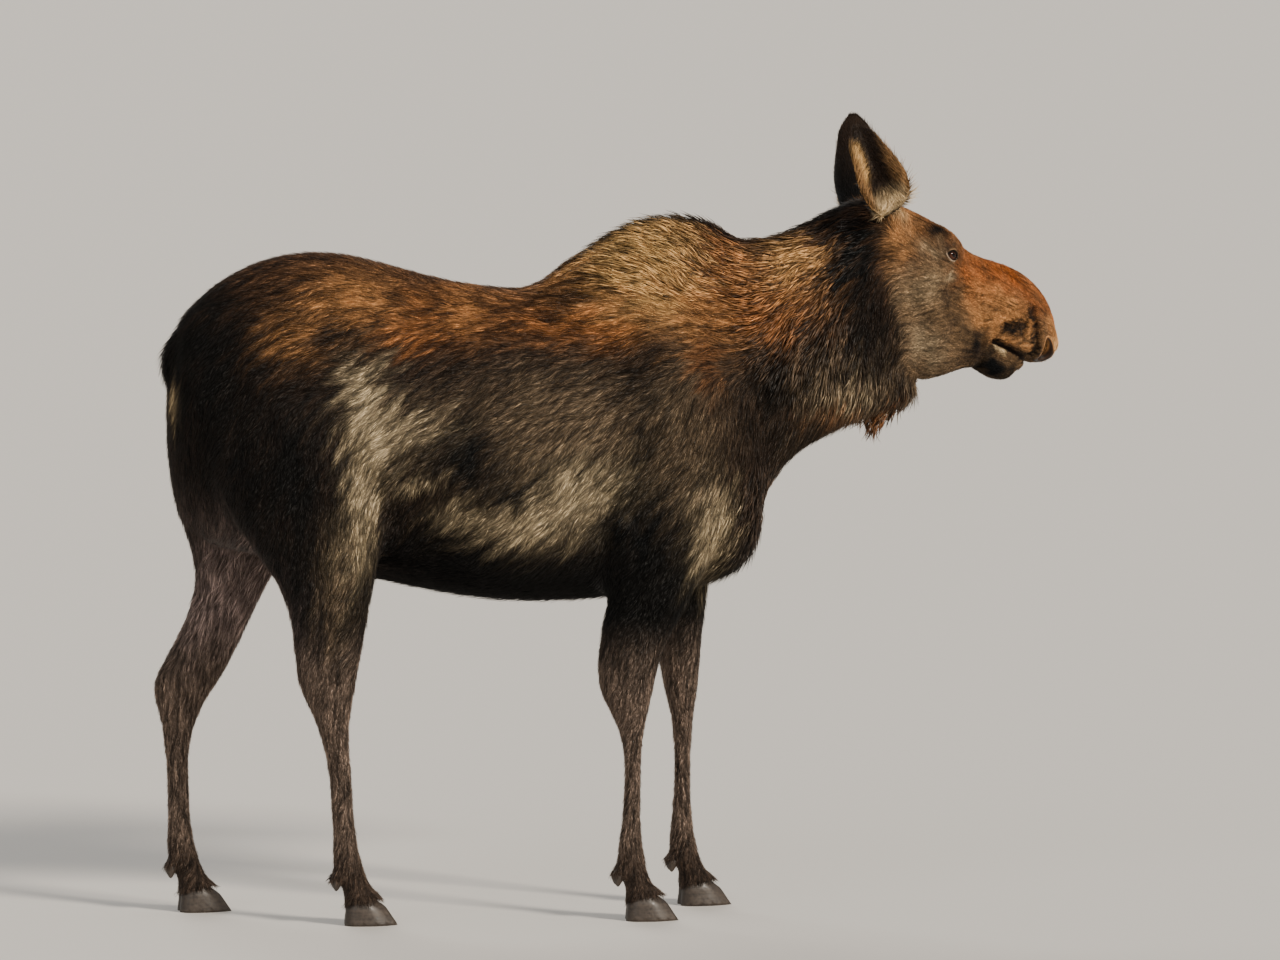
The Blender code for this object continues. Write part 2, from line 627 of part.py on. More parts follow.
# ---------------------------------------------------------------- parting
# Each leg's own space: back x, front x, the y and z of its roof at the groin and at the flank,
# and the height at which the leg is parted, at the knee or the hock.
LEG_SPACES = {
    "foreleg_right": (-0.080, 0.40, (0.030, 0.790), (0.42, 1.070), 0.545),
    "foreleg_left": (-0.030, 0.40, (0.030, 0.790), (0.42, 1.070), 0.545),
    "hindleg_right": (-1.30, -0.552, (0.030, 0.870), (0.42, 1.240), 0.560),
    "hindleg_left": (-1.30, -0.640, (0.030, 0.870), (0.42, 1.240), 0.560),
}
BELL_OUTLINE = [(0.615, 1.190), (0.760, 1.292), (0.820, 1.200), (0.720, 1.100), (0.615, 1.100)]
JAW_OUTLINE = [(0.345, -0.335), (0.478, -0.108), (0.700, -0.114), (0.700, -0.335)]
HEAD_CUT = ((0.665, 0.070, 1.520), (0.920, 0.360, 0.160))
NECK_CUT = ((0.375, 0.000, 1.400), (0.960, 0.000, 0.260))


def part_leg(body, name):
    """Takes a leg off the body and parts it at the knee or hock. It ends flat on its claws."""
    back, front, groin, flank, joint = LEG_SPACES[name]
    side = LEFT if name.endswith("left") else RIGHT
    roof = [(side * y, z) for y, z in (flank, groin)]
    outline = [(side * groin[0], -0.1), (side * flank[0], -0.1), *roof]
    upper = part_off(body, prism("space", outline, back, front, run="x"), f"{name}_upper")
    lower = part_off(upper, half_space("space", (0, 0, joint), (0, 0, -1)), f"{name}_lower")
    horn = half_space("horn", (0, 0, CLAW_HEIGHT + CUT), (0, 0, -1))
    combine(lower, horn, "DIFFERENCE")
    drop(horn)
    return upper, lower


def part_body(body):
    """Cuts the joined body into its named pieces."""
    pieces = {}
    for name in LEGS:
        pieces[f"{name}_upper"], pieces[f"{name}_lower"] = part_leg(body, name)
    pieces["bell"] = part_off(body, prism("space", BELL_OUTLINE, -0.2, 0.3), "bell")
    pieces["head"] = part_off(body, half_space("space", *HEAD_CUT), "head")
    pieces["neck"] = part_off(body, half_space("space", *NECK_CUT), "neck")
    jaw_space = prism("space", JAW_OUTLINE, -0.3, 0.3)
    jaw_space.data.transform(HEAD)
    pieces["lower_jaw"] = part_off(pieces["head"], jaw_space, "lower_jaw")
    body.name = "trunk"
    pieces["trunk"] = body
    return pieces


def add_small_parts(pieces):
    """Eyes, ears, tail, claws and dewclaws, each in a pocket a little larger than itself."""
    small = [tail()]
    pockets = [("trunk", duplicate(small[0], "pocket"))]
    for side in (RIGHT, LEFT):
        small += [eye(side), ear(side, f"ear_{word(side)}")]
        pockets.append(("head", duplicate(small[-2], "pocket")))
        pockets += [(piece, ear(side, "pocket", 0)) for piece in ("head", "neck")]
    for name, rows in LEGS.items():
        for made in foot(name, rows):
            small.append(made)
            pockets.append((f"{name}_lower", duplicate(made, "pocket")))
    for piece, pocket in pockets:
        combine(pieces[piece], swell(pocket, POCKET_GAP), "DIFFERENCE")
        drop(pocket)
    return small


# ---------------------------------------------------------------- colours
COAT_DARK = ((0.035, 0.026, 0.020), 0.8)
COAT_BACK = ((0.110, 0.070, 0.042), 0.8)
COAT_FACE = ((0.160, 0.090, 0.045), 0.8)
COAT_SHANK = ((0.120, 0.105, 0.090), 0.8)
HORN = ((0.030, 0.026, 0.024), 0.45)
EYE_BROWN = ((0.020, 0.010, 0.006), 0.1)


def finish_of(name):
    """A piece's colour and roughness."""
    if "dewclaw" in name:
        return COAT_DARK
    if "claw" in name:
        return HORN
    if "eye" in name:
        return EYE_BROWN
    if name in ("trunk", "neck", "bell"):
        return COAT_BACK
    if name in ("head", "lower_jaw"):
        return COAT_FACE
    return COAT_SHANK if "lower" in name else COAT_DARK


def paint(made):
    colour, roughness = finish_of(made.name)
    material = bpy.data.materials.new(made.name)
    material.use_nodes = True
    shader = material.node_tree.nodes["Principled BSDF"]
    shader.inputs["Base Color"].default_value = (*colour, 1)
    shader.inputs["Roughness"].default_value = roughness
    made.data.materials.clear()
    made.data.materials.append(material)


def main():
    for leftover in list(bpy.data.objects):
        bpy.data.objects.remove(leftover)
    pieces = part_body(flesh())
    for made in [*pieces.values(), *add_small_parts(pieces)]:
        paint(made)
        made.data.shade_smooth()


main()
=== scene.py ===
"""The looks of a life-size cow moose: one skin with its folds and lids, eyes, ears and hooves,
and a coat of solid tufts that lie the way the hair grows. Metres, +X towards the head, +Y to the
animal's left, +Z up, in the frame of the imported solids."""

import math

import bmesh
import bpy
import numpy as np
from mathutils import Matrix, Vector
from mathutils.bvhtree import BVHTree


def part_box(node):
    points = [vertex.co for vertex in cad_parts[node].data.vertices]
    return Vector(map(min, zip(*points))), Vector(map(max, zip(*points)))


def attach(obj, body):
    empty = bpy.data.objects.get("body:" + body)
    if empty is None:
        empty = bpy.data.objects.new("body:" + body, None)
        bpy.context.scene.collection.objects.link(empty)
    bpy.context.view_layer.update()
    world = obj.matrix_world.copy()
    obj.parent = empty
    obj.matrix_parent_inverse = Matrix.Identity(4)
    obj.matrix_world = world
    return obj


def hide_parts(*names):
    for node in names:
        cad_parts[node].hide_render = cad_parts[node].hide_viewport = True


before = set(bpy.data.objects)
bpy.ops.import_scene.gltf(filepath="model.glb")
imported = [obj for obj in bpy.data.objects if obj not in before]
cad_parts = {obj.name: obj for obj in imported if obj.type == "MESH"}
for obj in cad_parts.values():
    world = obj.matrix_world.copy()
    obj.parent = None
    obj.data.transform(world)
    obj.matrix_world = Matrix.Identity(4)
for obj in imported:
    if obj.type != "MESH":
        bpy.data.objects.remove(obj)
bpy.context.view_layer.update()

# ---------------- driving sizes
RIGHT, LEFT = -1, 1
SIDES = {RIGHT: "right", LEFT: "left"}
LEGS = ("foreleg_right", "foreleg_left", "hindleg_right", "hindleg_left")
LEG_HALVES = [f"{leg}_{half}" for leg in LEGS for half in ("upper", "lower")]
FLESH = ["trunk", "neck", "bell", "head", "lower_jaw", "tail", *LEG_HALVES]
KINDS = [f"{kind}_{where}" for kind in ("claw", "dewclaw") for where in ("inner", "outer")]
CLAWS = [f"{leg}_{kind}" for leg in LEGS for kind in KINDS]

# The head has its own axes: +X from the poll to the nose, +Z out of the forehead.
POLL = Vector((0.668, 0.062, 1.756))
HEAD_TURN = Matrix.Rotation(math.radians(23), 4, "Z") @ Matrix.Rotation(math.radians(36), 4, "Y")
HEAD = Matrix.Translation(POLL) @ HEAD_TURN
INTO_HEAD = np.array(HEAD.inverted())
HEAD_AXES = np.array(HEAD)[:3, :3]  # directions @ HEAD_AXES.T leave the head's axes
HEAD_PLANE = (Vector((0.665, 0.070, 1.520)), Vector((0.920, 0.360, 0.160)).normalized())
HEAD_FADE = (-0.035, 0.030)  # where the neck turns into the head, from the plane
THROAT_FADE = (-0.340, -0.305)  # where the throat turns into the jaw, along the head's +Z
FLATTENED = (1.0, 0.3, 1.0)  # lines on the head are measured with its width shrunk

EAR_ROOT = {RIGHT: (-0.012, -0.076, -0.040), LEFT: (0.004, 0.078, -0.038)}  # in the head's axes
EAR_LINE = {RIGHT: (-0.26, -0.56, 0.79), LEFT: (0.08, 0.40, 0.91)}
EAR_ROOT_REACH = (0.045, 0.045, 0.045)  # within which hair turns up the ear

SKIN_CELL = 0.0104  # cell of the remesh that makes one skin of the solids
SKIN_SMOOTHING = 6
OVERLAP = 0.0006  # how far each solid is swelled, to close the cuts between them
PIECE_TRIANGLES = 180_000  # the most in one piece of the coat


# ---------------- number tools
def ramp(value, start, end):
    """0 before start and 1 after end, smooth between. start may be the larger."""
    share = np.clip((value - start) / (end - start), 0, 1)
    return share * share * (3 - 2 * share)


def peak(value, middle, spread):
    """1 at the middle and nearly 0 beyond twice the spread."""
    return np.exp(-(((value - middle) / spread) ** 2))


def blob(points, centre, radii):
    """1 at the centre and nearly 0 beyond twice the radii."""
    return np.exp(-(((points - np.array(centre)) / np.array(radii)) ** 2).sum(1))


def near_line(points, start, end, reach):
    """1 on a line and 0 beyond its reach."""
    start, end = np.array(start), np.array(end)
    line = end - start
    share = np.clip(((points - start) @ line) / (line @ line), 0, 1)
    away = np.linalg.norm(points - start - share[:, None] * line, axis=1) / reach
    return np.where(away < 1, (1 - away**2) ** 2, 0)


def near_path(points, path, reach):
    """1 on a path of several points and 0 beyond its reach."""
    share = np.zeros(len(points))
    for start, end in zip(path, path[1:]):
        share = np.maximum(share, near_line(points, start, end, reach))
    return share


def near_head_path(places, path, reach):
    """The same for places on the head, with their width shrunk."""
    return near_path(places * FLATTENED, np.array(path) * FLATTENED, reach)


def plane_waves(points, length, spread, seed, count):
    """The axis and the sine at each point of waves that run in random directions."""
    rng = np.random.default_rng(seed)
    for _ in range(count):
        axis = rng.normal(size=3)
        axis *= 2 * np.pi / (length * rng.uniform(*spread) * np.linalg.norm(axis))
        yield axis, np.sin(points @ axis + rng.uniform(0, 2 * np.pi))


def waves(points, length, seed, count=9):
    """Smooth noise, mostly from -1 to 1, of about the given wave length."""
    drawn = plane_waves(points, length, (0.7, 1.6), seed, count)
    return sum(wave for _, wave in drawn) / math.sqrt(count)


def three_waves(points, length, seed):
    """Smooth noise along each of the three axes."""
    return np.column_stack([waves(points, length, seed + axis) for axis in range(3)])


def streaks(points, directions, width, length, seed, count=48):
    """Noise drawn out along the directions, with a spread of 1."""
    drawn = plane_waves(points, width, (0.8, 2.2), seed, count)
    total = sum(wave * np.sinc(directions @ axis * length / (2 * np.pi)) for axis, wave in drawn)
    return np.clip(total / total.std(), -2.5, 2.5)


def unit(vectors):
    return vectors / np.maximum(np.linalg.norm(vectors, axis=1), 1e-9)[:, None]


def along_surface(vectors, normals):
    """The vectors laid flat on the surface, at length 1."""
    return unit(vectors - normals * (vectors * normals).sum(1)[:, None])


def turned(directions, normals, angle):
    """Directions on the surface turned about its normal."""
    across = np.cross(normals, directions)
    return directions * np.cos(angle)[:, None] + across * np.sin(angle)[:, None]


def mixed(low, high, share):
    return low + (high - low) * share[:, None]


def rgb(red, green, blue):
    """A colour as seen on a screen, 0 to 255, as the light it reflects."""
    seen = np.array((red, green, blue)) / 255
    return np.where(seen <= 0.04045, seen / 12.92, ((seen + 0.055) / 1.055) ** 2.4)


def mirrored(points):
    """Both sides of the animal folded onto its left."""
    return points * (1, 0, 1) + np.abs(points) * (0, 1, 0)


def unfolded(directions, points):
    """Directions found for the left, as they are on each point's own side."""
    own_side = np.ones_like(points)
    own_side[:, 1] = np.sign(points[:, 1] + 1e-9)
    return directions * own_side


def into_head(points):
    return points @ INTO_HEAD[:3, :3].T + INTO_HEAD[:3, 3]


def head_places(points):
    """Points in the head's axes, both its sides folded onto its left."""
    return mirrored(into_head(points))


def head_share(points):
    """1 on the head and 0 on the throat, the neck and the body."""
    origin, normal = HEAD_PLANE
    beyond = (points - np.array(origin)) @ np.array(normal)
    return ramp(beyond, *HEAD_FADE) * ramp(into_head(points)[:, 2], *THROAT_FADE)


# ---------------- mesh tools
def read_rows(rows, name, width, kind=np.float32):
    """One property of every row of a Blender collection, as an array."""
    flat = np.empty(len(rows) * width, kind)
    rows.foreach_get(name, flat)
    return flat.reshape(-1, width)


def points_of(mesh):
    return read_rows(mesh.vertices, "co", 3).astype(float)


def normals_of(mesh):
    return read_rows(mesh.vertex_normals, "vector", 3).astype(float)


def set_points(mesh, points):
    mesh.vertices.foreach_set("co", points.astype(np.float32).ravel())
    mesh.update()


def new_object(name, mesh):
    made = bpy.data.objects.new(name, mesh)
    bpy.context.scene.collection.objects.link(made)
    return made


def new_mesh(name, build):
    """Ends a bmesh as a mesh."""
    mesh = bpy.data.meshes.new(name)
    build.to_mesh(mesh)
    build.free()
    return mesh


def triangle_mesh(name, points, faces):
    """A mesh from arrays of points and triangles."""
    mesh = bpy.data.meshes.new(name)
    mesh.vertices.add(len(points))
    mesh.vertices.foreach_set("co", points.astype(np.float32).ravel())
    mesh.loops.add(faces.size)
    mesh.loops.foreach_set("vertex_index", faces.astype(np.int32).ravel())
    mesh.polygons.add(len(faces))
    mesh.polygons.foreach_set("loop_start", np.arange(0, faces.size, 3, dtype=np.int32))
    mesh.update(calc_edges=True)
    mesh.shade_smooth()
    return mesh


def settle(made):
    """Applies the modifiers of an object."""
    graph = bpy.context.evaluated_depsgraph_get()
    settled = bpy.data.meshes.new_from_object(made.evaluated_get(graph))
    made.modifiers.clear()
    made.data = settled
    return made


def subdivide(made, levels):
    finer = made.modifiers.new("finer", "SUBSURF")
    finer.levels = finer.render_levels = levels
    return settle(made)


def smooth_copy(node, name, levels=2, crease_angle=50):
    """A rounded copy of a solid: subdivided, with its sharp edges kept."""
    build = bmesh.new()
    build.from_mesh(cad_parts[node].data)
    bmesh.ops.remove_doubles(build, verts=build.verts, dist=0.00002)
    crease = build.edges.layers.float.new("crease_edge")
    for edge in build.edges:
        if len(edge.link_faces) == 2 and edge.calc_face_angle() > math.radians(crease_angle):
            edge[crease] = 1.0
    return subdivide(new_object(name, new_mesh(name, build)), levels)


def joined(name, parts):
    """One mesh object of several, which it takes the place of."""
    build = bmesh.new()
    for part in parts:
        build.from_mesh(part.data)
        bpy.data.objects.remove(part)
    return new_object(name, new_mesh(name, build))


def keep_largest(made):
    """Drops every island but the largest."""
    build = bmesh.new()
    build.from_mesh(made.data)
    islands, seen = [], set()
    for start in build.verts:
        if start in seen:
            continue
        island, waiting = [], [start]
        seen.add(start)
        while waiting:
            vertex = waiting.pop()
            island.append(vertex)
            neighbours = {edge.other_vert(vertex) for edge in vertex.link_edges} - seen
            seen |= neighbours
            waiting += neighbours
        islands.append(island)
    islands.sort(key=len)
    for island in islands[:-1]:
        bmesh.ops.delete(build, geom=island, context="VERTS")
    build.to_mesh(made.data)
    build.free()


def refine(made, chosen):
    """Halves the edges between the chosen points."""
    build = bmesh.new()
    build.from_mesh(made.data)
    edges = [e for e in build.edges if chosen[e.verts[0].index] and chosen[e.verts[1].index]]
    bmesh.ops.subdivide_edges(build, edges=edges, cuts=1, use_grid_fill=True)
    build.to_mesh(made.data)
    build.free()


def relax(made, passes, weight=None):
    """Smooths the surface, most where the weight is 1."""
    mesh = made.data
    a, b = read_rows(mesh.edges, "vertices", 2, np.int32).T
    points = points_of(mesh)
    count = np.bincount(a, minlength=len(points)) + np.bincount(b, minlength=len(points))
    pull = 0.5 if weight is None else 0.5 * weight[:, None]
    for _ in range(passes):
        total = np.zeros_like(points)
        for axis in range(3):
            total[:, axis] += np.bincount(a, points[b, axis], len(points))
            total[:, axis] += np.bincount(b, points[a, axis], len(points))
        points += (total / np.maximum(count, 1)[:, None] - points) * pull
    set_points(mesh, points)


def paint(mesh, colours):
    """Stores a colour for each point, which the materials read as Tint."""
    tint = mesh.color_attributes.new("Tint", "FLOAT_COLOR", "POINT")
    four = np.ones((len(colours), 4), np.float32)
    four[:, :3] = np.clip(colours, 0, 1)
    tint.data.foreach_set("color", four.ravel())


def store_bare(mesh, share):
    """Stores how bare the skin is at each point, which the hide's material reads as Bare."""
    bare = mesh.attributes.new("Bare", "FLOAT", "POINT")
    bare.data.foreach_set("value", share.astype(np.float32))


# ---------------- length of the coat
# Where the hair is longer or shorter than elsewhere: centre, radii, length. Here and in the tables
# below, both sides are folded onto the left, and a table named HEAD_ is in the head's axes.
LENGTHS = {
    "hump": ((0.1, 0, 1.62), (0.27, 0.25, 0.17), 0.064),
    "nape": ((0.48, 0.06, 1.66), (0.18, 0.14, 0.1), 0.06),
    "neck": ((0.45, 0.1, 1.42), (0.2, 0.22, 0.19), 0.057),
    "throat": ((0.62, 0.08, 1.3), (0.12, 0.12, 0.09), 0.05),
    "brisket": ((0.36, 0.06, 0.98), (0.14, 0.22, 0.16), 0.064),
    "belly": ((-0.2, 0, 0.78), (0.45, 0.25, 0.06), 0.052),
    "bell": ((0.69, 0.07, 1.23), (0.07, 0.08, 0.07), 0.074),
    "tail": ((-1.07, 0, 1.38), (0.05, 0.06, 0.1), 0.05),
    "foot": ((0, 0, 0.08), (9, 9, 0.035), 0.024),
}
HEAD_LENGTHS = {
    "poll": ((-0.03, 0, -0.05), (0.06, 0.1, 0.08), 0.032),
    "cheek": ((0.1, 0.09, -0.17), (0.11, 0.08, 0.1), 0.021),
    "jaw": ((0.3, 0.05, -0.28), (0.14, 0.08, 0.06), 0.018),
    "muzzle": ((0.56, 0, -0.03), (0.12, 0.12, 0.1), 0.007),
    "eye": ((0.21, 0.1, -0.03), (0.05, 0.04, 0.05), 0.007),
    "chin": ((0.53, 0, -0.16), (0.06, 0.06, 0.04), 0.013),
    "ear": ((0, 0.078, -0.035), (0.042, 0.045, 0.045), 0.034),
}
BODY_HAIR, SHANK_HAIR, FACE_HAIR = 0.033, 0.019, 0.0125
SKIN_DEPTH, SKIN_DEPTH_SHARE = 0.0012, 0.20  # of the skin in the coat, and more by the length


def blended_length(places, start, table):
    """The length at each place: start, drawn towards each row's length near its centre."""
    length = np.full(len(places), start)
    for centre, radii, wanted in table.values():
        length += (wanted - length) * blob(places, centre, radii)
    return length


def hair_length(points):
    body = blended_length(mirrored(points), BODY_HAIR, LENGTHS)
    body += (SHANK_HAIR - body) * ramp(points[:, 2], 0.86, 0.52)
    face = blended_length(head_places(points), FACE_HAIR, HEAD_LENGTHS)
    return body + (face - body) * head_share(points)


def coat_depth(points):
    """How far the skin lies inside the solids, which end at the tips of the coat."""
    return SKIN_DEPTH + SKIN_DEPTH_SHARE * hair_length(points)


# ---------------- lie of the coat
# The way the hair points at places on the left side, read off by distance between them.
BODY_LIE = [
    ((0.62, 0.08, 1.72), (-0.8, 0.05, -0.3)),
    ((0.56, 0.12, 1.62), (-0.72, 0, -0.65)),
    ((0.44, 0.1, 1.62), (-0.8, 0, -0.55)),
    ((0.42, 0.14, 1.46), (-0.65, 0, -0.75)),
    ((0.62, 0.14, 1.46), (-0.35, 0, -0.93)),
    ((0.6, 0.1, 1.3), (-0.25, -0.1, -0.95)),
    ((0.48, 0.12, 1.26), (-0.3, 0, -0.93)),
    ((0.68, 0.08, 1.25), (-0.15, 0, -1)),
    ((0.32, 0.14, 1.56), (-0.9, 0, 0.15)),
    ((0.26, 0.18, 1.44), (-0.95, 0, 0.05)),
    ((0.18, 0.14, 1.58), (-0.78, 0, 0.55)),
    ((0.14, 0.03, 1.7), (-0.92, -0.1, 0.3)),
    ((0.02, 0.12, 1.6), (-0.92, 0, 0.3)),
    ((-0.1, 0.14, 1.52), (-1, 0, 0.05)),
    ((0.02, 0.22, 1.4), (-0.9, 0, -0.35)),
    ((-0.35, 0.12, 1.53), (-0.96, 0, -0.15)),
    ((-0.25, 0.26, 1.3), (-0.82, 0, -0.5)),
    ((-0.2, 0.27, 1.1), (-0.72, 0, -0.66)),
    ((-0.2, 0.25, 0.92), (-0.62, -0.1, -0.75)),
    ((-0.2, 0, 0.78), (-1, 0, 0)),
    ((-0.52, 0.25, 1.25), (-0.8, 0, -0.55)),
    ((-0.55, 0.22, 1.02), (-0.45, 0, -0.85)),
    ((-0.5, 0.05, 0.84), (-0.95, 0, 0.1)),
    ((-0.62, 0.14, 1.6), (-1, 0, -0.08)),
    ((-0.72, 0.22, 1.4), (-0.92, 0, -0.35)),
    ((-0.88, 0.12, 1.57), (-0.9, 0, -0.4)),
    ((-0.98, 0.16, 1.38), (-0.6, 0, -0.8)),
    ((-1.07, 0.05, 1.25), (-0.1, 0, -1)),
    ((-0.84, 0.23, 1.15), (-0.35, 0, -0.93)),
    ((-0.75, 0.2, 0.92), (-0.2, 0, -0.98)),
    ((-0.98, 0.2, 0.95), (-0.3, 0, -0.95)),
    ((0.16, 0.24, 1.22), (-0.5, 0, -0.86)),
    ((0.3, 0.18, 1.22), (-0.38, 0, -0.92)),
    ((0.16, 0.22, 1), (-0.62, 0, -0.78)),
    ((0.32, 0.12, 1), (-0.6, 0, -0.8)),
    ((0.4, 0, 1.15), (-0.15, 0, -1)),
    ((0.3, 0, 0.86), (-0.85, 0, -0.5)),
    ((0.06, 0.2, 0.82), (-0.5, 0, -0.86)),
    ((0.2, 0.2, 0.8), (-0.45, 0, -0.9)),
    ((0.04, 0.18, 0.6), (-0.25, 0, -0.97)),
]
LEG_LIE = (-0.10, 0.0, -1.0)
HEAD_LIE = [
    ((0.63, 0.02, -0.02), (-0.5, 0.1, 0.8)),
    ((0.6, 0, -0.07), (-0.3, 0.1, -0.9)),
    ((0.55, 0.04, 0.05), (-1, 0.1, 0.2)),
    ((0.42, 0, 0.08), (-1, 0.08, 0)),
    ((0.25, 0, 0.04), (-1, 0.12, 0)),
    ((0.1, 0, 0.03), (-1, 0.1, 0)),
    ((0.48, 0.07, -0.03), (-0.9, 0, -0.35)),
    ((0.38, 0.07, -0.05), (-0.9, 0, -0.4)),
    ((0.26, 0.09, -0.08), (-0.88, 0, -0.45)),
    ((0.2, 0.09, 0.02), (-0.95, 0.1, 0.25)),
    ((0.13, 0.09, -0.04), (-0.98, 0, -0.1)),
    ((0.24, 0.09, -0.17), (-0.75, 0, -0.66)),
    ((0.08, 0.09, -0.15), (-0.8, 0, -0.6)),
    ((0.34, 0.07, -0.22), (-0.85, 0, -0.5)),
    ((0.32, 0, -0.31), (-1, 0, -0.1)),
    ((0.55, 0.07, -0.08), (-0.8, 0, -0.55)),
    ((0.52, 0.03, -0.17), (-0.9, 0, -0.4)),
    ((0, 0.08, -0.03), (-0.8, 0.4, 0.4)),
]


def lie_between(places, rows, nearness=0.05):
    """The direction at each place, a mean of the rows' directions that favours the nearest."""
    total = np.zeros_like(places)
    for place, direction in rows:
        away = ((places - np.array(place)) ** 2).sum(1)
        total += unit(np.array([direction])) / (away + nearness**2)[:, None] ** 2
    return unit(total)


def lie(points, normals, seed=5):
    """The way the hair points on the surface, with slow swirls."""
    body = lie_between(mirrored(points), BODY_LIE)
    body = mixed(body, np.array([LEG_LIE]), ramp(points[:, 2], 0.72, 0.50))
    local = into_head(points)
    face = unfolded(lie_between(mirrored(local), HEAD_LIE, 0.03), local)
    for side in SIDES:
        up_the_ear = unit(np.array([EAR_LINE[side]])) @ HEAD_AXES
        face = mixed(face, up_the_ear, 0.85 * blob(local, EAR_ROOT[side], EAR_ROOT_REACH))
    flat = mixed(unfolded(body, points), face @ HEAD_AXES.T, head_share(points))
    swirl = 0.16 * waves(points, 0.09, seed) + 0.10 * waves(points, 0.03, seed + 1)
    return turned(along_surface(flat, normals), normals, swirl)


# ---------------- coat colours, with painted sheen and painted shade
BLACKISH = rgb(11, 10, 9)
DARK_BROWN = rgb(54, 41, 32)
BROWN = rgb(108, 75, 50)
GREY_BROWN = rgb(122, 104, 82)
# OLIVE_GREY serves mostly as painted sheen: light off glossy dark hair.
OLIVE_GREY = rgb(204, 184, 148)
SHANK = rgb(128, 110, 97)
TAN = rgb(204, 146, 90)
STRAW = rgb(255, 206, 132)
RUST = rgb(148, 94, 52)
BRIGHT_RUST = rgb(172, 110, 60)
RUFOUS = rgb(168, 94, 39)
CHEEK = rgb(123, 97, 69)
PALE = rgb(226, 198, 152)
NOSE_SKIN = rgb(34, 27, 24)
EAR_RIM = rgb(146, 110, 70)
NEARLY_BLACK = rgb(8, 6, 6)
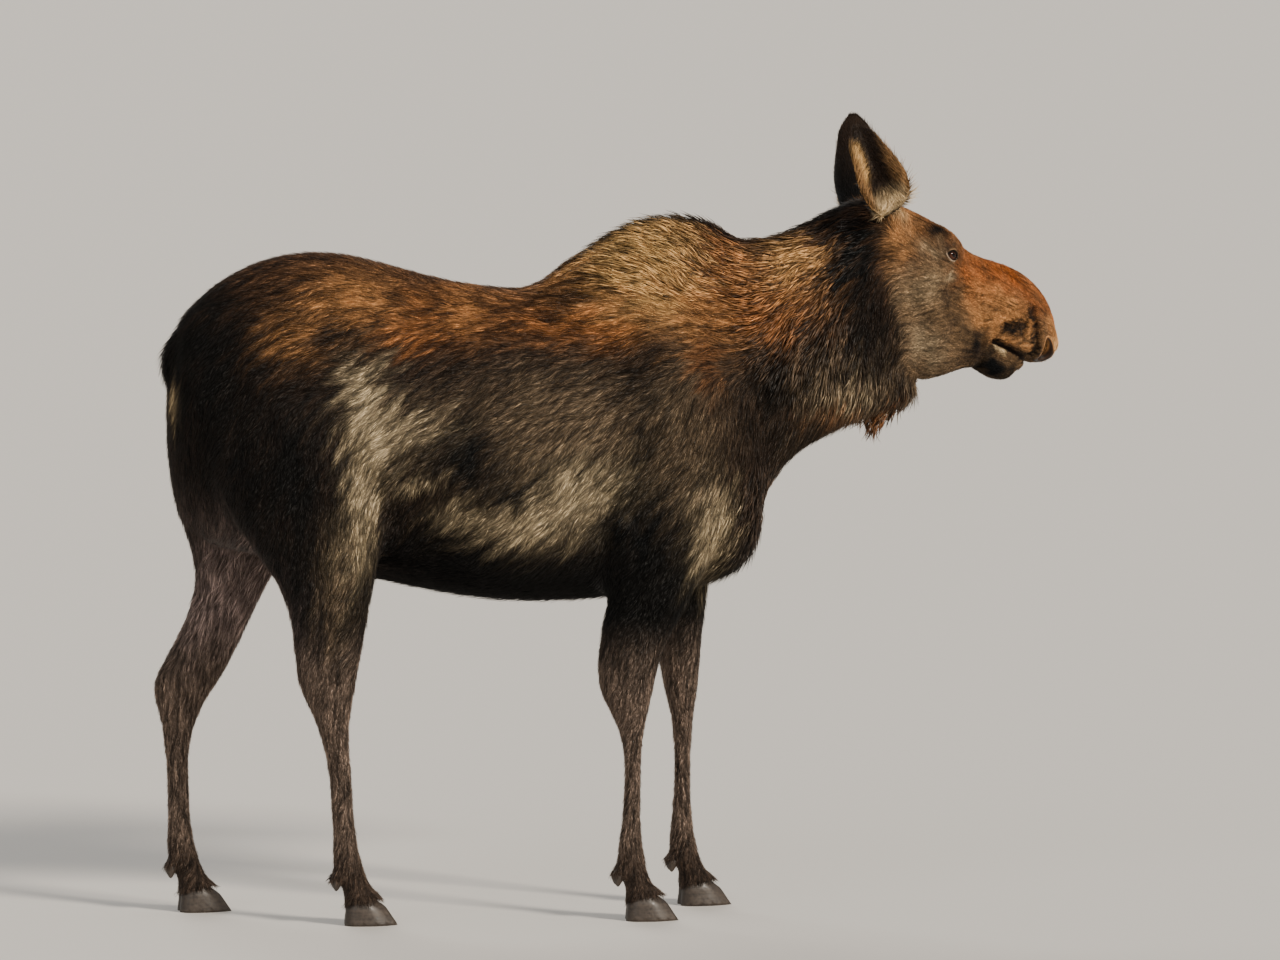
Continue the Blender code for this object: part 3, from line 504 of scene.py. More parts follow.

# Patches of colour on the left side, laid on one after another: centre, radii, colour, strength.
# Besides the coat's own colours, some rows are painted sheen and painted shade, as marked.
BODY_PATCHES = {
    # ribs: grey-brown hair, partly painted sheen.
    "ribs": ((-0.16, 0.27, 1.22), (0.24, 0.4, 0.13), GREY_BROWN, 0.88),
    "shoulder": ((0.13, 0.24, 1.22), (0.12, 0.4, 0.2), GREY_BROWN, 0.68),
    "shoulder low": ((0.16, 0.24, 1.08), (0.06, 0.4, 0.08), GREY_BROWN, 0.75),
    # Painted sheen: light off glossy dark hair on the side and the low ribs.
    "side sheen": ((-0.09, 0.27, 1.06), (0.12, 0.3, 0.07), OLIVE_GREY, 1),
    "low ribs": ((-0.25, 0.25, 0.975), (0.14, 0.4, 0.048), OLIVE_GREY, 0.9),
    # Painted shade in the recess in front of the stifle.
    "flank shade": ((-0.5, 0.25, 0.88), (0.11, 0.3, 0.13), BLACKISH, 1),
    "flank shade front": ((-0.4, 0.25, 0.86), (0.09, 0.3, 0.07), BLACKISH, 1),
    # Painted light: pale bands along the lit lower edge of the flank.
    "flank band": ((-0.485, 0.26, 1.085), (0.05, 0.3, 0.02), OLIVE_GREY, 0.8),
    "flank band low": ((-0.405, 0.26, 1.005), (0.05, 0.3, 0.028), OLIVE_GREY, 0.65),
    "dark rib patch": ((-0.375, 0.27, 1.13), (0.1, 0.3, 0.05), BLACKISH, 1),
    "dark rib top": ((-0.37, 0.27, 1.205), (0.05, 0.3, 0.055), BLACKISH, 0.75),
    "dark rib spot": ((-0.26, 0.27, 1.06), (0.05, 0.3, 0.032), BLACKISH, 0.9),
    "scapula edge": ((0.055, 0.24, 1.26), (0.024, 0.3, 0.16), BLACKISH, 0.75),
    # neck side: grey-brown hair, partly painted sheen; neck edge: painted sheen.
    "neck side": ((0.56, 0.12, 1.31), (0.14, 0.3, 0.1), GREY_BROWN, 0.75),
    "neck edge": ((0.6, 0.1, 1.27), (0.07, 0.2, 0.05), OLIVE_GREY, 0.45),
    "chest edge": ((0.44, 0.08, 1.17), (0.05, 0.3, 0.11), GREY_BROWN, 0.25),
    "front of shoulder": ((0.4, 0.12, 1.28), (0.055, 0.3, 0.11), BLACKISH, 0.8),
    "back": ((-0.55, 0, 1.59), (0.3, 0.14, 0.05), BROWN, 0.8),
    "saddle": ((-0.3, 0.12, 1.52), (0.24, 0.3, 0.06), BROWN, 0.8),
    "saddle rust": ((-0.42, 0.15, 1.48), (0.14, 0.3, 0.055), BRIGHT_RUST, 0.7),
    "loin rust": ((-0.5, 0.18, 1.43), (0.07, 0.3, 0.04), BRIGHT_RUST, 0.65),
    "loin light": ((-0.36, 0.15, 1.49), (0.08, 0.3, 0.05), TAN, 0.5),
    "loin tan": ((-0.64, 0.16, 1.52), (0.1, 0.3, 0.055), TAN, 0.95),
    "hip tan": ((-0.8, 0.18, 1.43), (0.08, 0.3, 0.06), TAN, 0.7),
    "loin break": ((-0.44, 0.18, 1.49), (0.022, 0.3, 0.045), DARK_BROWN, 0.65),
    "hip break": ((-0.7, 0.18, 1.44), (0.045, 0.3, 0.04), DARK_BROWN, 0.75),
    "behind hump rust": ((-0.09, 0.18, 1.455), (0.15, 0.3, 0.042), BRIGHT_RUST, 0.8),
    "lower hump rust": ((-0.01, 0.22, 1.43), (0.05, 0.3, 0.028), BRIGHT_RUST, 0.85),
    "hump": ((0.06, 0.12, 1.57), (0.17, 0.4, 0.1), TAN, 0.9),
    "hump light": ((0.08, 0.12, 1.62), (0.12, 0.4, 0.085), STRAW, 0.95),
    "hump light low": ((0.12, 0.14, 1.54), (0.09, 0.4, 0.06), STRAW, 0.65),
    "fan": ((0.22, 0.16, 1.48), (0.11, 0.3, 0.075), TAN, 0.75),
    "hump front rust": ((0.29, 0.12, 1.62), (0.045, 0.3, 0.09), RUST, 0.8),
    "under the hump": ((0.06, 0.22, 1.39), (0.07, 0.3, 0.035), DARK_BROWN, 0.7),
    "shoulder rust": ((0.22, 0.2, 1.37), (0.035, 0.3, 0.07), RUST, 0.6),
    "neck tan": ((0.42, 0.14, 1.58), (0.13, 0.3, 0.085), TAN, 0.6),
    "neck straw": ((0.45, 0.14, 1.62), (0.075, 0.3, 0.055), STRAW, 0.3),
    "neck rust": ((0.37, 0.14, 1.49), (0.1, 0.3, 0.06), RUST, 0.75),
    # The collar rows are dark hair, darkened further as painted shade behind the head.
    "collar": ((0.6, 0.12, 1.62), (0.06, 0.4, 0.15), BLACKISH, 0.97),
    "low collar": ((0.64, 0.14, 1.47), (0.05, 0.3, 0.1), BLACKISH, 0.85),
    # Painted shadow: a dark spot on the neck.
    "neck shadow spot": ((0.545, 0.14, 1.345), (0.035, 0.2, 0.024), BLACKISH, 0.85),
    "throat front": ((0.73, 0.07, 1.275), (0.045, 0.09, 0.035), GREY_BROWN, 0.8),
    "throat edge": ((0.6, 0.07, 1.23), (0.12, 0.08, 0.025), RUST, 0.55),
    "bell": ((0.67, 0.07, 1.21), (0.05, 0.08, 0.05), BLACKISH, 0.75),
    "bell tip": ((0.69, 0.07, 1.2), (0.03, 0.06, 0.05), RUST, 0.6),
    "rump": ((-1.02, 0.1, 1.4), (0.15, 0.5, 0.26), BLACKISH, 0.92),
    "thigh": ((-0.86, 0.24, 1.08), (0.2, 0.4, 0.24), BLACKISH, 0.95),
    # Painted sheen on the flank: light off glossy black hair.
    "flank sheen": ((-0.625, 0.24, 1.28), (0.05, 0.3, 0.085), OLIVE_GREY, 1),
    "flank sheen low": ((-0.598, 0.24, 1.17), (0.05, 0.3, 0.08), OLIVE_GREY, 1),
    "flank sheen front": ((-0.51, 0.24, 1.22), (0.08, 0.3, 0.045), OLIVE_GREY, 0.55),
    # Painted shade in the flank's crease.
    "flank crease": ((-0.578, 0.24, 1.115), (0.01, 0.3, 0.04), BLACKISH, 0.8),
    # Painted sheen down the stifle.
    "stifle sheen": ((-0.64, 0.24, 1.02), (0.03, 0.3, 0.09), OLIVE_GREY, 0.85),
    "stifle low": ((-0.665, 0.24, 0.9), (0.036, 0.3, 0.08), OLIVE_GREY, 0.75),
    "gaskin": ((-0.69, 0.24, 0.8), (0.045, 0.3, 0.14), GREY_BROWN, 0.75),
    "inner thigh": ((-0.92, 0.09, 0.74), (0.22, 0.085, 0.19), rgb(168, 146, 138), 0.95),
    "buttock streak": ((-1.08, 0.06, 1.285), (0.02, 0.03, 0.038), PALE, 0.65),
    "elbow": ((0.05, 0.22, 0.95), (0.115, 0.4, 0.15), BLACKISH, 1),
    # Painted sheen: wet-looking highlights on the black brisket.
    "brisket sheen": ((0.225, 0.16, 0.945), (0.05, 0.3, 0.1), OLIVE_GREY, 0.85),
}
HEAD_PATCHES = {
    "forehead": ((0.1, 0, 0.03), (0.12, 0.11, 0.07), RUST, 0.85),
    "forehead light": ((0.05, 0.05, 0), (0.04, 0.05, 0.03), TAN, 0.6),
    "cheek edge": ((0.07, 0.09, -0.12), (0.045, 0.1, 0.11), TAN, 0.6),
    "under ear": ((0.03, 0.09, -0.05), (0.04, 0.05, 0.05), TAN, 0.5),
    "front of ear": ((0.035, 0.08, -0.018), (0.022, 0.03, 0.025), PALE, 0.85),
    # Dark hair and painted shade behind the ear.
    "behind ear": ((-0.045, 0.08, -0.05), (0.035, 0.05, 0.06), BLACKISH, 0.95),
    "cheek dark": ((0.13, 0.09, -0.12), (0.03, 0.08, 0.05), BROWN, 0.55),
    # Painted sheen on the cheek: light off the glossy hair.
    "cheek painted sheen": ((0.2, 0.09, -0.125), (0.05, 0.08, 0.055), OLIVE_GREY, 0.3),
    "cheek sheen": ((0.12, 0.09, -0.2), (0.05, 0.08, 0.05), OLIVE_GREY, 0.3),
    "front of cheek": ((0.318, 0.09, -0.162), (0.024, 0.08, 0.042), DARK_BROWN, 0.5),
    "poll": ((-0.04, 0, -0.03), (0.045, 0.14, 0.08), BLACKISH, 0.85),
    "jaw": ((0.28, 0.05, -0.26), (0.14, 0.1, 0.07), GREY_BROWN, 0.65),
    # Painted sheen along the jowl.
    "jowl painted sheen": ((0.29, 0.08, -0.245), (0.06, 0.08, 0.036), OLIVE_GREY, 0.25),
    "bridge": ((0.4, 0, 0.06), (0.19, 0.085, 0.075), RUFOUS, 1),
    "bridge side": ((0.33, 0.06, -0.02), (0.12, 0.05, 0.045), RUFOUS, 0.75),
    "nose": ((0.58, 0, 0.02), (0.07, 0.07, 0.04), RUFOUS, 0.8),
    "nose front": ((0.625, 0.03, -0.012), (0.042, 0.06, 0.036), rgb(240, 188, 128), 1),
    "brow": ((0.146, 0.09, -0.002), (0.042, 0.03, 0.026), BLACKISH, 0.92),
    "front of brow": ((0.2, 0.08, 0.018), (0.025, 0.03, 0.012), RUST, 0.6),
    "round the eye": ((0.205, 0.1, -0.03), (0.036, 0.04, 0.028), DARK_BROWN, 0.7),
    "below the eye": ((0.245, 0.1, -0.062), (0.018, 0.05, 0.016), OLIVE_GREY, 0.6),
    "behind the eye": ((0.15, 0.1, -0.05), (0.03, 0.05, 0.02), OLIVE_GREY, 0.35),
    "tear groove": ((0.265, 0.085, -0.1), (0.022, 0.05, 0.04), DARK_BROWN, 0.6),
    "muzzle side": ((0.43, 0.07, -0.035), (0.09, 0.05, 0.034), TAN, 1),
    "muzzle low": ((0.42, 0.07, -0.09), (0.07, 0.05, 0.03), TAN, 0.85),
    "mouth corner": ((0.435, 0.06, -0.15), (0.038, 0.05, 0.034), BLACKISH, 0.95),
    "chin": ((0.52, 0.02, -0.16), (0.085, 0.08, 0.038), BLACKISH, 0.97),
}
GROOVE = [(0.5, 0.073, 0.006), (0.532, 0.076, -0.034), (0.566, 0.068, -0.074)]
# Fine dark and pale lines on the muzzle: points along the line, reach, colour, strength.
HEAD_LINES = {
    # Painted shade: the muzzle fold and the groove behind the nostril are painted black in their
    # hollows.
    "muzzle fold": ([(0.47, 0.07, -0.066), (0.492, 0.07, -0.052), (0.502, 0.07, -0.038)],
                    0.029, BLACKISH, 0.95),
    "groove behind": (GROOVE, 0.021, BLACKISH, 0.92),
    "fold bump": ([(0.514, 0.071, -0.026), (0.526, 0.072, -0.05)], 0.012, TAN, 0.8),
    "under the nostril": ([(0.606, 0.056, -0.082), (0.634, 0.038, -0.072)], 0.017, NEARLY_BLACK, 0.9),
    "above the nostril": ([(0.56, 0.08, 0.01), (0.6, 0.07, -0.004)], 0.022, TAN, 0.6),
    "upper lip": ([(0.48, 0.06, -0.094), (0.52, 0.06, -0.08), (0.55, 0.062, -0.074)], 0.015, TAN, 0.6),
    "mouth": ([(0.468, 0.044, -0.112), (0.5, 0.043, -0.103), (0.542, 0.047, -0.096),
               (0.57, 0.05, -0.092), (0.612, 0, -0.093)], 0.014, NEARLY_BLACK, 1),
    "lower lip": ([(0.478, 0.044, -0.119), (0.506, 0.043, -0.115)], 0.012, PALE, 0.95),
    "chin top": ([(0.49, 0.046, -0.134), (0.535, 0.036, -0.13)], 0.014, CHEEK, 0.5),
    "jaw line": ([(0.4, 0.046, -0.2), (0.45, 0.05, -0.16)], 0.03, DARK_BROWN, 0.6),
}  # fmt: skip


def with_patches(colours, places, patches, seed):
    """Lays on patches whose edges and strength are uneven."""
    uneven = np.clip(0.92 + 0.22 * waves(places, 0.07, seed + 4), 0.4, 1.05)
    places = places + 0.010 * three_waves(places, 0.045, seed)
    for centre, radii, colour, strength in patches.values():
        share = np.clip(1.25 * blob(places, centre, radii), 0, 1)
        colours = mixed(colours, colour, strength * share * uneven)
    return colours


def crest_share(points):
    """1 along the dark crest of the hump and the neck."""
    height, along = points[:, 2], points[:, 0]
    aside = np.abs(points[:, 1] - 0.05 * ramp(along, 0.3, 0.6))
    return ramp(aside, 0.060, 0.015) * (ramp(height, 1.56, 1.63) * ramp(along, -0.25, -0.10))


def body_colours_and_painted_light(points, ahead):
    """The body's colours, with painted sheen and painted shade, from its back down to its feet, drawn
    out the way the hair lies.
    """
    height = points[:, 2]
    drawn = streaks(points, ahead, 0.022, 0.10, 41)
    places = points + ahead * (0.020 * drawn * (1 - head_share(points)))[:, None]
    body = mixed(DARK_BROWN, BROWN, 0.5 * ramp(height, 1.38, 1.60))
    body = mixed(body, BLACKISH, ramp(height, 1.00, 0.84))
    body = with_patches(body, mirrored(places), BODY_PATCHES, 11)
    body = mixed(body, BLACKISH, 0.85 * crest_share(points))
    body = mixed(body, SHANK, 0.85 * ramp(height, 0.76, 0.56))
    return mixed(body, DARK_BROWN, 0.75 * ramp(height, 0.22, 0.12))


def face_colours_and_painted_light(points):
    """The head's colours, with the fine lines of its muzzle, and painted sheen and painted shade."""
    places = head_places(points)
    face = with_patches(CHEEK, places, HEAD_PATCHES, 31)
    wobble = three_waves(points, 0.014, 52) * (0.0035, 0, 0.0035)
    flat = places * FLATTENED + wobble
    uneven = np.clip(1.4 + 0.6 * waves(points, 0.010, 51), 0.4, 2.2)
    for line, reach, colour, strength in HEAD_LINES.values():
        share = near_path(flat, np.array(line) * FLATTENED, reach)
        face = mixed(face, colour, np.clip(uneven * share, 0, 1) * strength)
    return face


def mottle(points, ahead):
    """How much lighter or darker the coat is from lock to lock, most on the back."""
    off_head = 1 - head_share(points)
    light = 1 + 0.10 * waves(points, 0.06, 7) + 0.08 * waves(points, 0.018, 8)
    light += (0.50 - 0.24 * head_share(points)) * streaks(points, ahead, 0.006, 0.034, 43)
    locks = 0.14 * waves(points, 0.035, 9) + 0.16 * streaks(points, ahead, 0.014, 0.06, 47)
    light += ramp(points[:, 2], 1.28, 1.42) * off_head * locks
    return np.clip(light, 0.30, 2.2)


def coat_colours_and_painted_light(points, ahead):
    """The colour of the coat's tips at each point, where the hair points ahead: its own colours with
    painted sheen and painted shade laid on. The skin and every tuft read it."""
    colours = mixed(body_colours_and_painted_light(points, ahead), face_colours_and_painted_light(points), head_share(points))
    return colours * mottle(points, ahead)[:, None]


# ---------------- head details
# Strokes on the skin in the head's axes, mirrored: points along the line, reach, height.
MOUTH = [(0.466, 0.044, -0.114), (0.5, 0.043, -0.103), (0.542, 0.047, -0.094),
         (0.57, 0.048, -0.09), (0.612, 0, -0.092)]  # fmt: skip
HEAD_FOLDS = {
    "nostril wing": ([(0.548, 0.086, -0.01), (0.558, 0.082, -0.034), (0.576, 0.072, -0.06),
                      (0.594, 0.062, -0.084)], 0.01, 0.0055),
    "nostril roof": ([(0.566, 0.086, 0.004), (0.606, 0.072, -0.004), (0.638, 0.044, -0.014)],
                    0.016, 0.006),
    "groove behind": (GROOVE, 0.018, -0.0085),
    "fold bump": ([(0.512, 0.071, -0.02), (0.524, 0.072, -0.054)], 0.013, 0.0065),
    "muzzle fold": ([(0.462, 0.07, -0.066), (0.49, 0.07, -0.052), (0.504, 0.07, -0.034)],
                    0.02, -0.0085),
    "above the fold": ([(0.43, 0.072, -0.02), (0.48, 0.074, 0)], 0.028, 0.005),
    "mouth": (MOUTH, 0.0115, -0.014),
    "upper lip": ([(0.47, 0.06, -0.096), (0.52, 0.06, -0.084), (0.56, 0.062, -0.074)], 0.014, 0.006),
    "lower lip": ([(0.47, 0.048, -0.13), (0.53, 0.042, -0.116), (0.58, 0.024, -0.11)], 0.015, 0.0055),
    "lip corner": ([(0.436, 0.056, -0.108), (0.444, 0.056, -0.128)], 0.015, 0.004),
    "chin swell": ([(0.5, 0.03, -0.165), (0.55, 0.024, -0.155)], 0.03, 0.005),
    "chin crease": ([(0.44, 0.05, -0.146), (0.47, 0.04, -0.178)], 0.018, -0.005),
    "cheek muscle": ([(0.15, 0.096, -0.1), (0.28, 0.09, -0.19)], 0.06, 0.005),
    "jaw groove": ([(0.3, 0.085, -0.11), (0.345, 0.078, -0.2)], 0.032, -0.0055),
    "cheek bone": ([(0.25, 0.096, -0.07), (0.34, 0.076, -0.05)], 0.02, 0.005),
    "tear groove": ([(0.244, 0.098, -0.06), (0.272, 0.088, -0.1)], 0.014, -0.0045),
    "brow ridge": ([(0.16, 0.094, 0.01), (0.2, 0.098, 0.014), (0.236, 0.088, 0.004)], 0.02, 0.006),
    "vein": ([(0.36, 0.07, -0.04), (0.4, 0.07, -0.08), (0.43, 0.066, -0.096)], 0.008, 0.002),
    "temple": ([(0.09, 0.09, -0.03), (0.13, 0.094, -0.05)], 0.032, -0.0045),
}
# The nostril is a comma-shaped pit with a rolled rim.
NOSTRIL, NOSTRIL_LINE = (0.602, 0.062, -0.052), (0.052, -0.034, -0.042)  # middle, longer way
NOSTRIL_LENGTH, NOSTRIL_WIDTH = 0.043, 0.0225  # from its middle to its rim
NOSTRIL_DEPTH, NOSTRIL_RIM = 0.030, 0.0028
NOSTRIL_OUTWARD = (0.55, 0.80, -0.20)  # the way out of the left pit, in the head's axes
# The same on the body, in the model's axes.
BODY_FOLDS = {
    "flank fold": ([(-0.565, 0.25, 1.1), (-0.56, 0.25, 1.02), (-0.59, 0.24, 0.95)], 0.03, 0.01),
    "flank recess": ([(-0.52, 0.25, 1.02), (-0.53, 0.24, 0.94)], 0.05, -0.012),
    "thigh edge": ([(-0.64, 0.25, 1.24), (-0.615, 0.25, 1.1)], 0.06, 0.006),
    "elbow fold": ([(-0.03, 0.24, 1.04), (-0.05, 0.23, 0.92)], 0.035, -0.01),
    "elbow point": ([(0, 0.22, 0.96), (0.01, 0.21, 0.92)], 0.05, 0.01),
    "upper arm line": ([(0.2, 0.23, 1.16), (0.08, 0.23, 1)], 0.04, -0.005),
    "shoulder ridge": ([(0.05, 0.2, 1.5), (0.2, 0.23, 1.18)], 0.05, 0.006),
    "rib line one": ([(-0.12, 0.28, 1.25), (-0.18, 0.28, 0.95)], 0.028, 0.0025),
    "rib line two": ([(-0.22, 0.28, 1.25), (-0.27, 0.28, 0.95)], 0.028, 0.0025),
    "rib line three": ([(-0.32, 0.28, 1.25), (-0.36, 0.28, 0.97)], 0.028, 0.002),
    "neck crease one": ([(0.6, 0.14, 1.42), (0.64, 0.11, 1.32)], 0.022, -0.0045),
    "neck crease two": ([(0.52, 0.15, 1.4), (0.58, 0.12, 1.26)], 0.03, -0.0035),
    "jugular groove": ([(0.42, 0.14, 1.28), (0.56, 0.15, 1.36)], 0.04, -0.005),
}


def press(mesh, folds, to_head):
    """Moves the surface in or out along each fold, on both sides."""
    points, normals = points_of(mesh), normals_of(mesh)
    near = near_head_path if to_head else near_path
    places = head_places(points) if to_head else mirrored(points)
    lift = sum(near(places, line, reach) * height for line, reach, height in folds.values())
    if to_head:
        lift *= head_share(points)
    set_points(mesh, points + normals * lift[:, None])


# The front of the throat is drawn forward, under the jaw: middle, radii, way.
THROAT = ((0.70, 0.07, 1.275), (0.055, 0.075, 0.042), (0.056, 0.000, -0.006))


def fill_throat(mesh):
    points = points_of(mesh)
    middle, radii, way = THROAT
    set_points(mesh, points + blob(points, middle, radii)[:, None] * np.array(way))


def nostril_share(places):
    """How far out each place is on the nostril: 0 in its middle, 1 on its rim."""
    along = unit(np.array([NOSTRIL_LINE]))[0]
    away = places - np.array(NOSTRIL)
    ahead = away @ along
    aside = np.linalg.norm(away - ahead[:, None] * along, axis=1)
    fuller = 1 + 0.45 * np.clip(ahead / NOSTRIL_LENGTH, -1, 1)
    return np.hypot(ahead / NOSTRIL_LENGTH, aside / (NOSTRIL_WIDTH * fuller))


def dig_nostrils(mesh):
    """Sinks both nostrils and rolls their rims."""
    points, normals = points_of(mesh), normals_of(mesh)
    share = nostril_share(head_places(points))
    depth = NOSTRIL_DEPTH * ramp(share, 1.05, 0.60)
    rim = NOSTRIL_RIM * peak(share, 1.22, 0.16)
    outward = unit(unfolded(np.array(NOSTRIL_OUTWARD), into_head(points))) @ HEAD_AXES.T
    set_points(mesh, points - outward * depth[:, None] + normals * rim[:, None])


def fine_head_points(mesh, reach):
    """Which points lie near the nostrils, the folds of the muzzle or the mouth."""
    places = head_places(points_of(mesh))
    chosen = nostril_share(places) < 1.6
    for name in ("mouth", "muzzle fold", "groove behind"):
        chosen |= (near_head_path(places, HEAD_FOLDS[name][0], reach) > 0) & (places[:, 0] > 0.4)
    return chosen


# ---------------- the skin
COVER_OVER_HORN = 0.0095
CLAW_COVER = (0.040, 0.064)  # height where a claw's horn begins, at its heel and toe
DEWCLAW_COVER = 0.45  # the same as a share of a dewclaw's height


def foot_cover(name):
    """The hairy hide over the upper part of a claw, to be joined into the skin."""
    made = smooth_copy(name, f"{name}_cover", levels=1)
    low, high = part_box(name)
    points = points_of(made.data) + normals_of(made.data) * COVER_OVER_HORN
    if "dewclaw" in name:
        edge = low.z + (high.z - low.z) * DEWCLAW_COVER
    else:
        along = np.clip((points[:, 0] - low.x) / (high.x - low.x), 0, 1)
        edge = CLAW_COVER[0] + (CLAW_COVER[1] - CLAW_COVER[0]) * along
    points[:, 2] = np.maximum(points[:, 2], edge)
    set_points(made.data, points)
    return made


def base_skin():
    """One closed surface round all the flesh, with the eye sockets filled."""
    parts = [foot_cover(name) for name in CLAWS]
    for name in [*FLESH, "eye_right", "eye_left"]:
        part = smooth_copy(name, f"{name}_copy", levels=2)
        set_points(part.data, points_of(part.data) + normals_of(part.data) * OVERLAP)
        parts.append(part)
    skin = joined("skin", parts)
    remesh = skin.modifiers.new("one", "REMESH")
    remesh.mode = "VOXEL"
    remesh.voxel_size = SKIN_CELL
    settle(skin)
    keep_largest(skin)
    return skin


def shape_skin(skin):
    """Smooths the skin, sets it inside the coat and adds the finer folds."""
    relax(skin, SKIN_SMOOTHING)
    refine(skin, head_share(points_of(skin.data)) > 0.3)
    relax(skin, 4, head_share(points_of(skin.data)))
    refine(skin, fine_head_points(skin.data, 0.014))
    relax(skin, 2, head_share(points_of(skin.data)))
    fill_throat(skin.data)
    points = points_of(skin.data)
    set_points(skin.data, points - normals_of(skin.data) * coat_depth(points)[:, None])
    press(skin.data, BODY_FOLDS, to_head=False)
    press(skin.data, HEAD_FOLDS, to_head=True)
    refine(skin, nostril_share(head_places(points_of(skin.data))) < 1.35)
    dig_nostrils(skin.data)
    for side in SIDES:
        seat_eye(skin.data, side)
    relax(skin, 1, head_share(points_of(skin.data)))


def unwrap(made):
    """An unwrap of the piece's own shape, as the map named OFBake."""
    mesh = made.data
    while mesh.uv_layers:
        mesh.uv_layers.remove(mesh.uv_layers[0])
    mesh.uv_layers.new(name="OFBake")
    bpy.ops.object.select_all(action="DESELECT")
    made.select_set(True)
    bpy.context.view_layer.objects.active = made
    bpy.ops.object.mode_set(mode="EDIT")
    bpy.ops.mesh.select_all(action="SELECT")
    bpy.ops.uv.smart_project(angle_limit=math.radians(66), island_margin=0.001)
    bpy.ops.object.mode_set(mode="OBJECT")
    made.select_set(False)


# ---------------- eyes and lids
GAZE = (0.20, 0.97, 0.12)  # of the left eye, in the head's axes
EYE_RADIUS = 0.0205
EYE_SUNK = 0.0020
EYE_REACH = 0.06  # how far from the middle of an eye the skin is shaped to it
MOUND, MOUND_SOFTNESS = 0.0022, 0.0025  # how high the skin stands over the eyeball
OPENING_LENGTH, OPENING_ABOVE, OPENING_BELOW = 0.0212, 0.0124, 0.0112
OPENING_CORNERS = 1.55  # 2 would make an ellipse, and less makes pointed corners
OPENING_TILT = math.radians(18)
OUTER_RADIUS = 0.0150  # of the circle that the wider outlines come near
LID_POINTS = 48
# The lid from its inner edge outwards: scale of the opening, and height over the eyeball.
LID_ROWS = [
    (0.93, 0.0002), (1.00, 0.0008), (1.05, 0.0024), (1.13, 0.0040),
    (1.24, 0.0044), (1.34, 0.0022), (1.46, 0.0040),
]  # fmt: skip
LID_FADES, LID_MEETS, LID_ENDS = 1.36, 1.75, 2.00  # scales: towards the skin, on it, under it
LID_OVER_SKIN, LID_UNDER_SKIN = 0.0003, 0.0030  # how far the lid's last rings are from the skin
LID_BACK, LID_BACK_DEPTH = 1.50, 0.003  # scale and depth of the ring that closes the lid inside
SUNK_SCALE, SUNK_DEPTH = 1.50, 0.004  # the skin within this scale is sunk this deep in the eye
RAY_START = 0.08  # how far from the eye's middle the rays that find the skin start
BALL_ROWS, BALL_COLUMNS = 39, 56
BALL_INSET, CORNEA = 0.0002, 0.0008  # how far the ball is drawn in, and the cornea bulges
PUPIL = (0.34, 0.20)  # half length and half height, as shares of the eye's radius
IRIS_ANGLE = 36  # degrees from the middle of the pupil to the iris's edge


def gaze_of(side):
    return HEAD_TURN.to_3x3() @ Vector((GAZE[0], GAZE[1] * side, GAZE[2])).normalized()


def eye_centre(side):
    low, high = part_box(f"eye_{SIDES[side]}")
    return (low + high) / 2 - gaze_of(side) * EYE_SUNK


def eye_axes(side):
    """Outward, forward and upward axes of an eye, in the model's axes."""
    gaze = gaze_of(side)
    ahead = HEAD_TURN.to_3x3() @ Vector((1, 0, 0))
    ahead = (ahead - gaze * ahead.dot(gaze)).normalized()
    above = gaze.cross(ahead) * (-side)
    return tuple(np.array(axis) for axis in (gaze, ahead, above))


def away_from_eye(points, side):
    """The way from the middle of an eye to each point, and its length."""
    away = points - np.array(eye_centre(side))
    return away, np.maximum(np.linalg.norm(away, axis=1), 1e-9)


def opening_reach(turn, scale):
    """How far the outline at a scale is from the middle, on a plane that touches the eyeball.
    It is an almond at scale 1 and rounder beyond."""
    height = np.where(np.sin(turn) > 0, OPENING_ABOVE, OPENING_BELOW)
    power = OPENING_CORNERS
    almond = np.abs(np.cos(turn) / OPENING_LENGTH) ** power + np.abs(np.sin(turn) / height) ** power
    almond = almond ** (-1 / power)
    rounder = min(max(0.7 * (scale - 1), 0), 0.7)
    return scale * (almond * (1 - rounder) + OUTER_RADIUS * rounder)


def eye_rays(side, scale):
    """Directions from the middle of the eye to the outline at a scale."""
    gaze, ahead, above = eye_axes(side)
    turn = np.linspace(0, 2 * np.pi, LID_POINTS, endpoint=False)
    reach = opening_reach(turn, scale)
    x, z = reach * np.cos(turn + OPENING_TILT), reach * np.sin(turn + OPENING_TILT)
    return unit(gaze * EYE_RADIUS + np.outer(x, ahead) + np.outer(z, above))


def opening_scale(points, side, scale=1.0):
    """Below 1 inside the outline at a scale and above 1 outside it, seen from the eye's middle."""
    gaze, ahead, above = eye_axes(side)
    away, _ = away_from_eye(points, side)
    out = np.maximum(away @ gaze, 1e-4)
    x, z = away @ ahead / out * EYE_RADIUS, away @ above / out * EYE_RADIUS
    share = np.hypot(x, z) / opening_reach(np.arctan2(z, x) - OPENING_TILT, scale)
    return np.where(away @ gaze > 0.004, share, 9.0)


def seat_eye(mesh, side):
    """Raises the skin into a mound that covers the eyeball."""
    points = points_of(mesh)
    away, distance = away_from_eye(points, side)
    out = away @ np.array(gaze_of(side)) / distance
    share = ramp(out, -0.25, 0.25) * (distance < EYE_REACH)
    wanted = EYE_RADIUS + MOUND
    over = np.clip((distance - wanted) / MOUND_SOFTNESS, -30, 30)
    raised = wanted + MOUND_SOFTNESS * np.log1p(np.exp(over))
    set_points(mesh, points + away * ((raised / distance - 1) * share)[:, None])


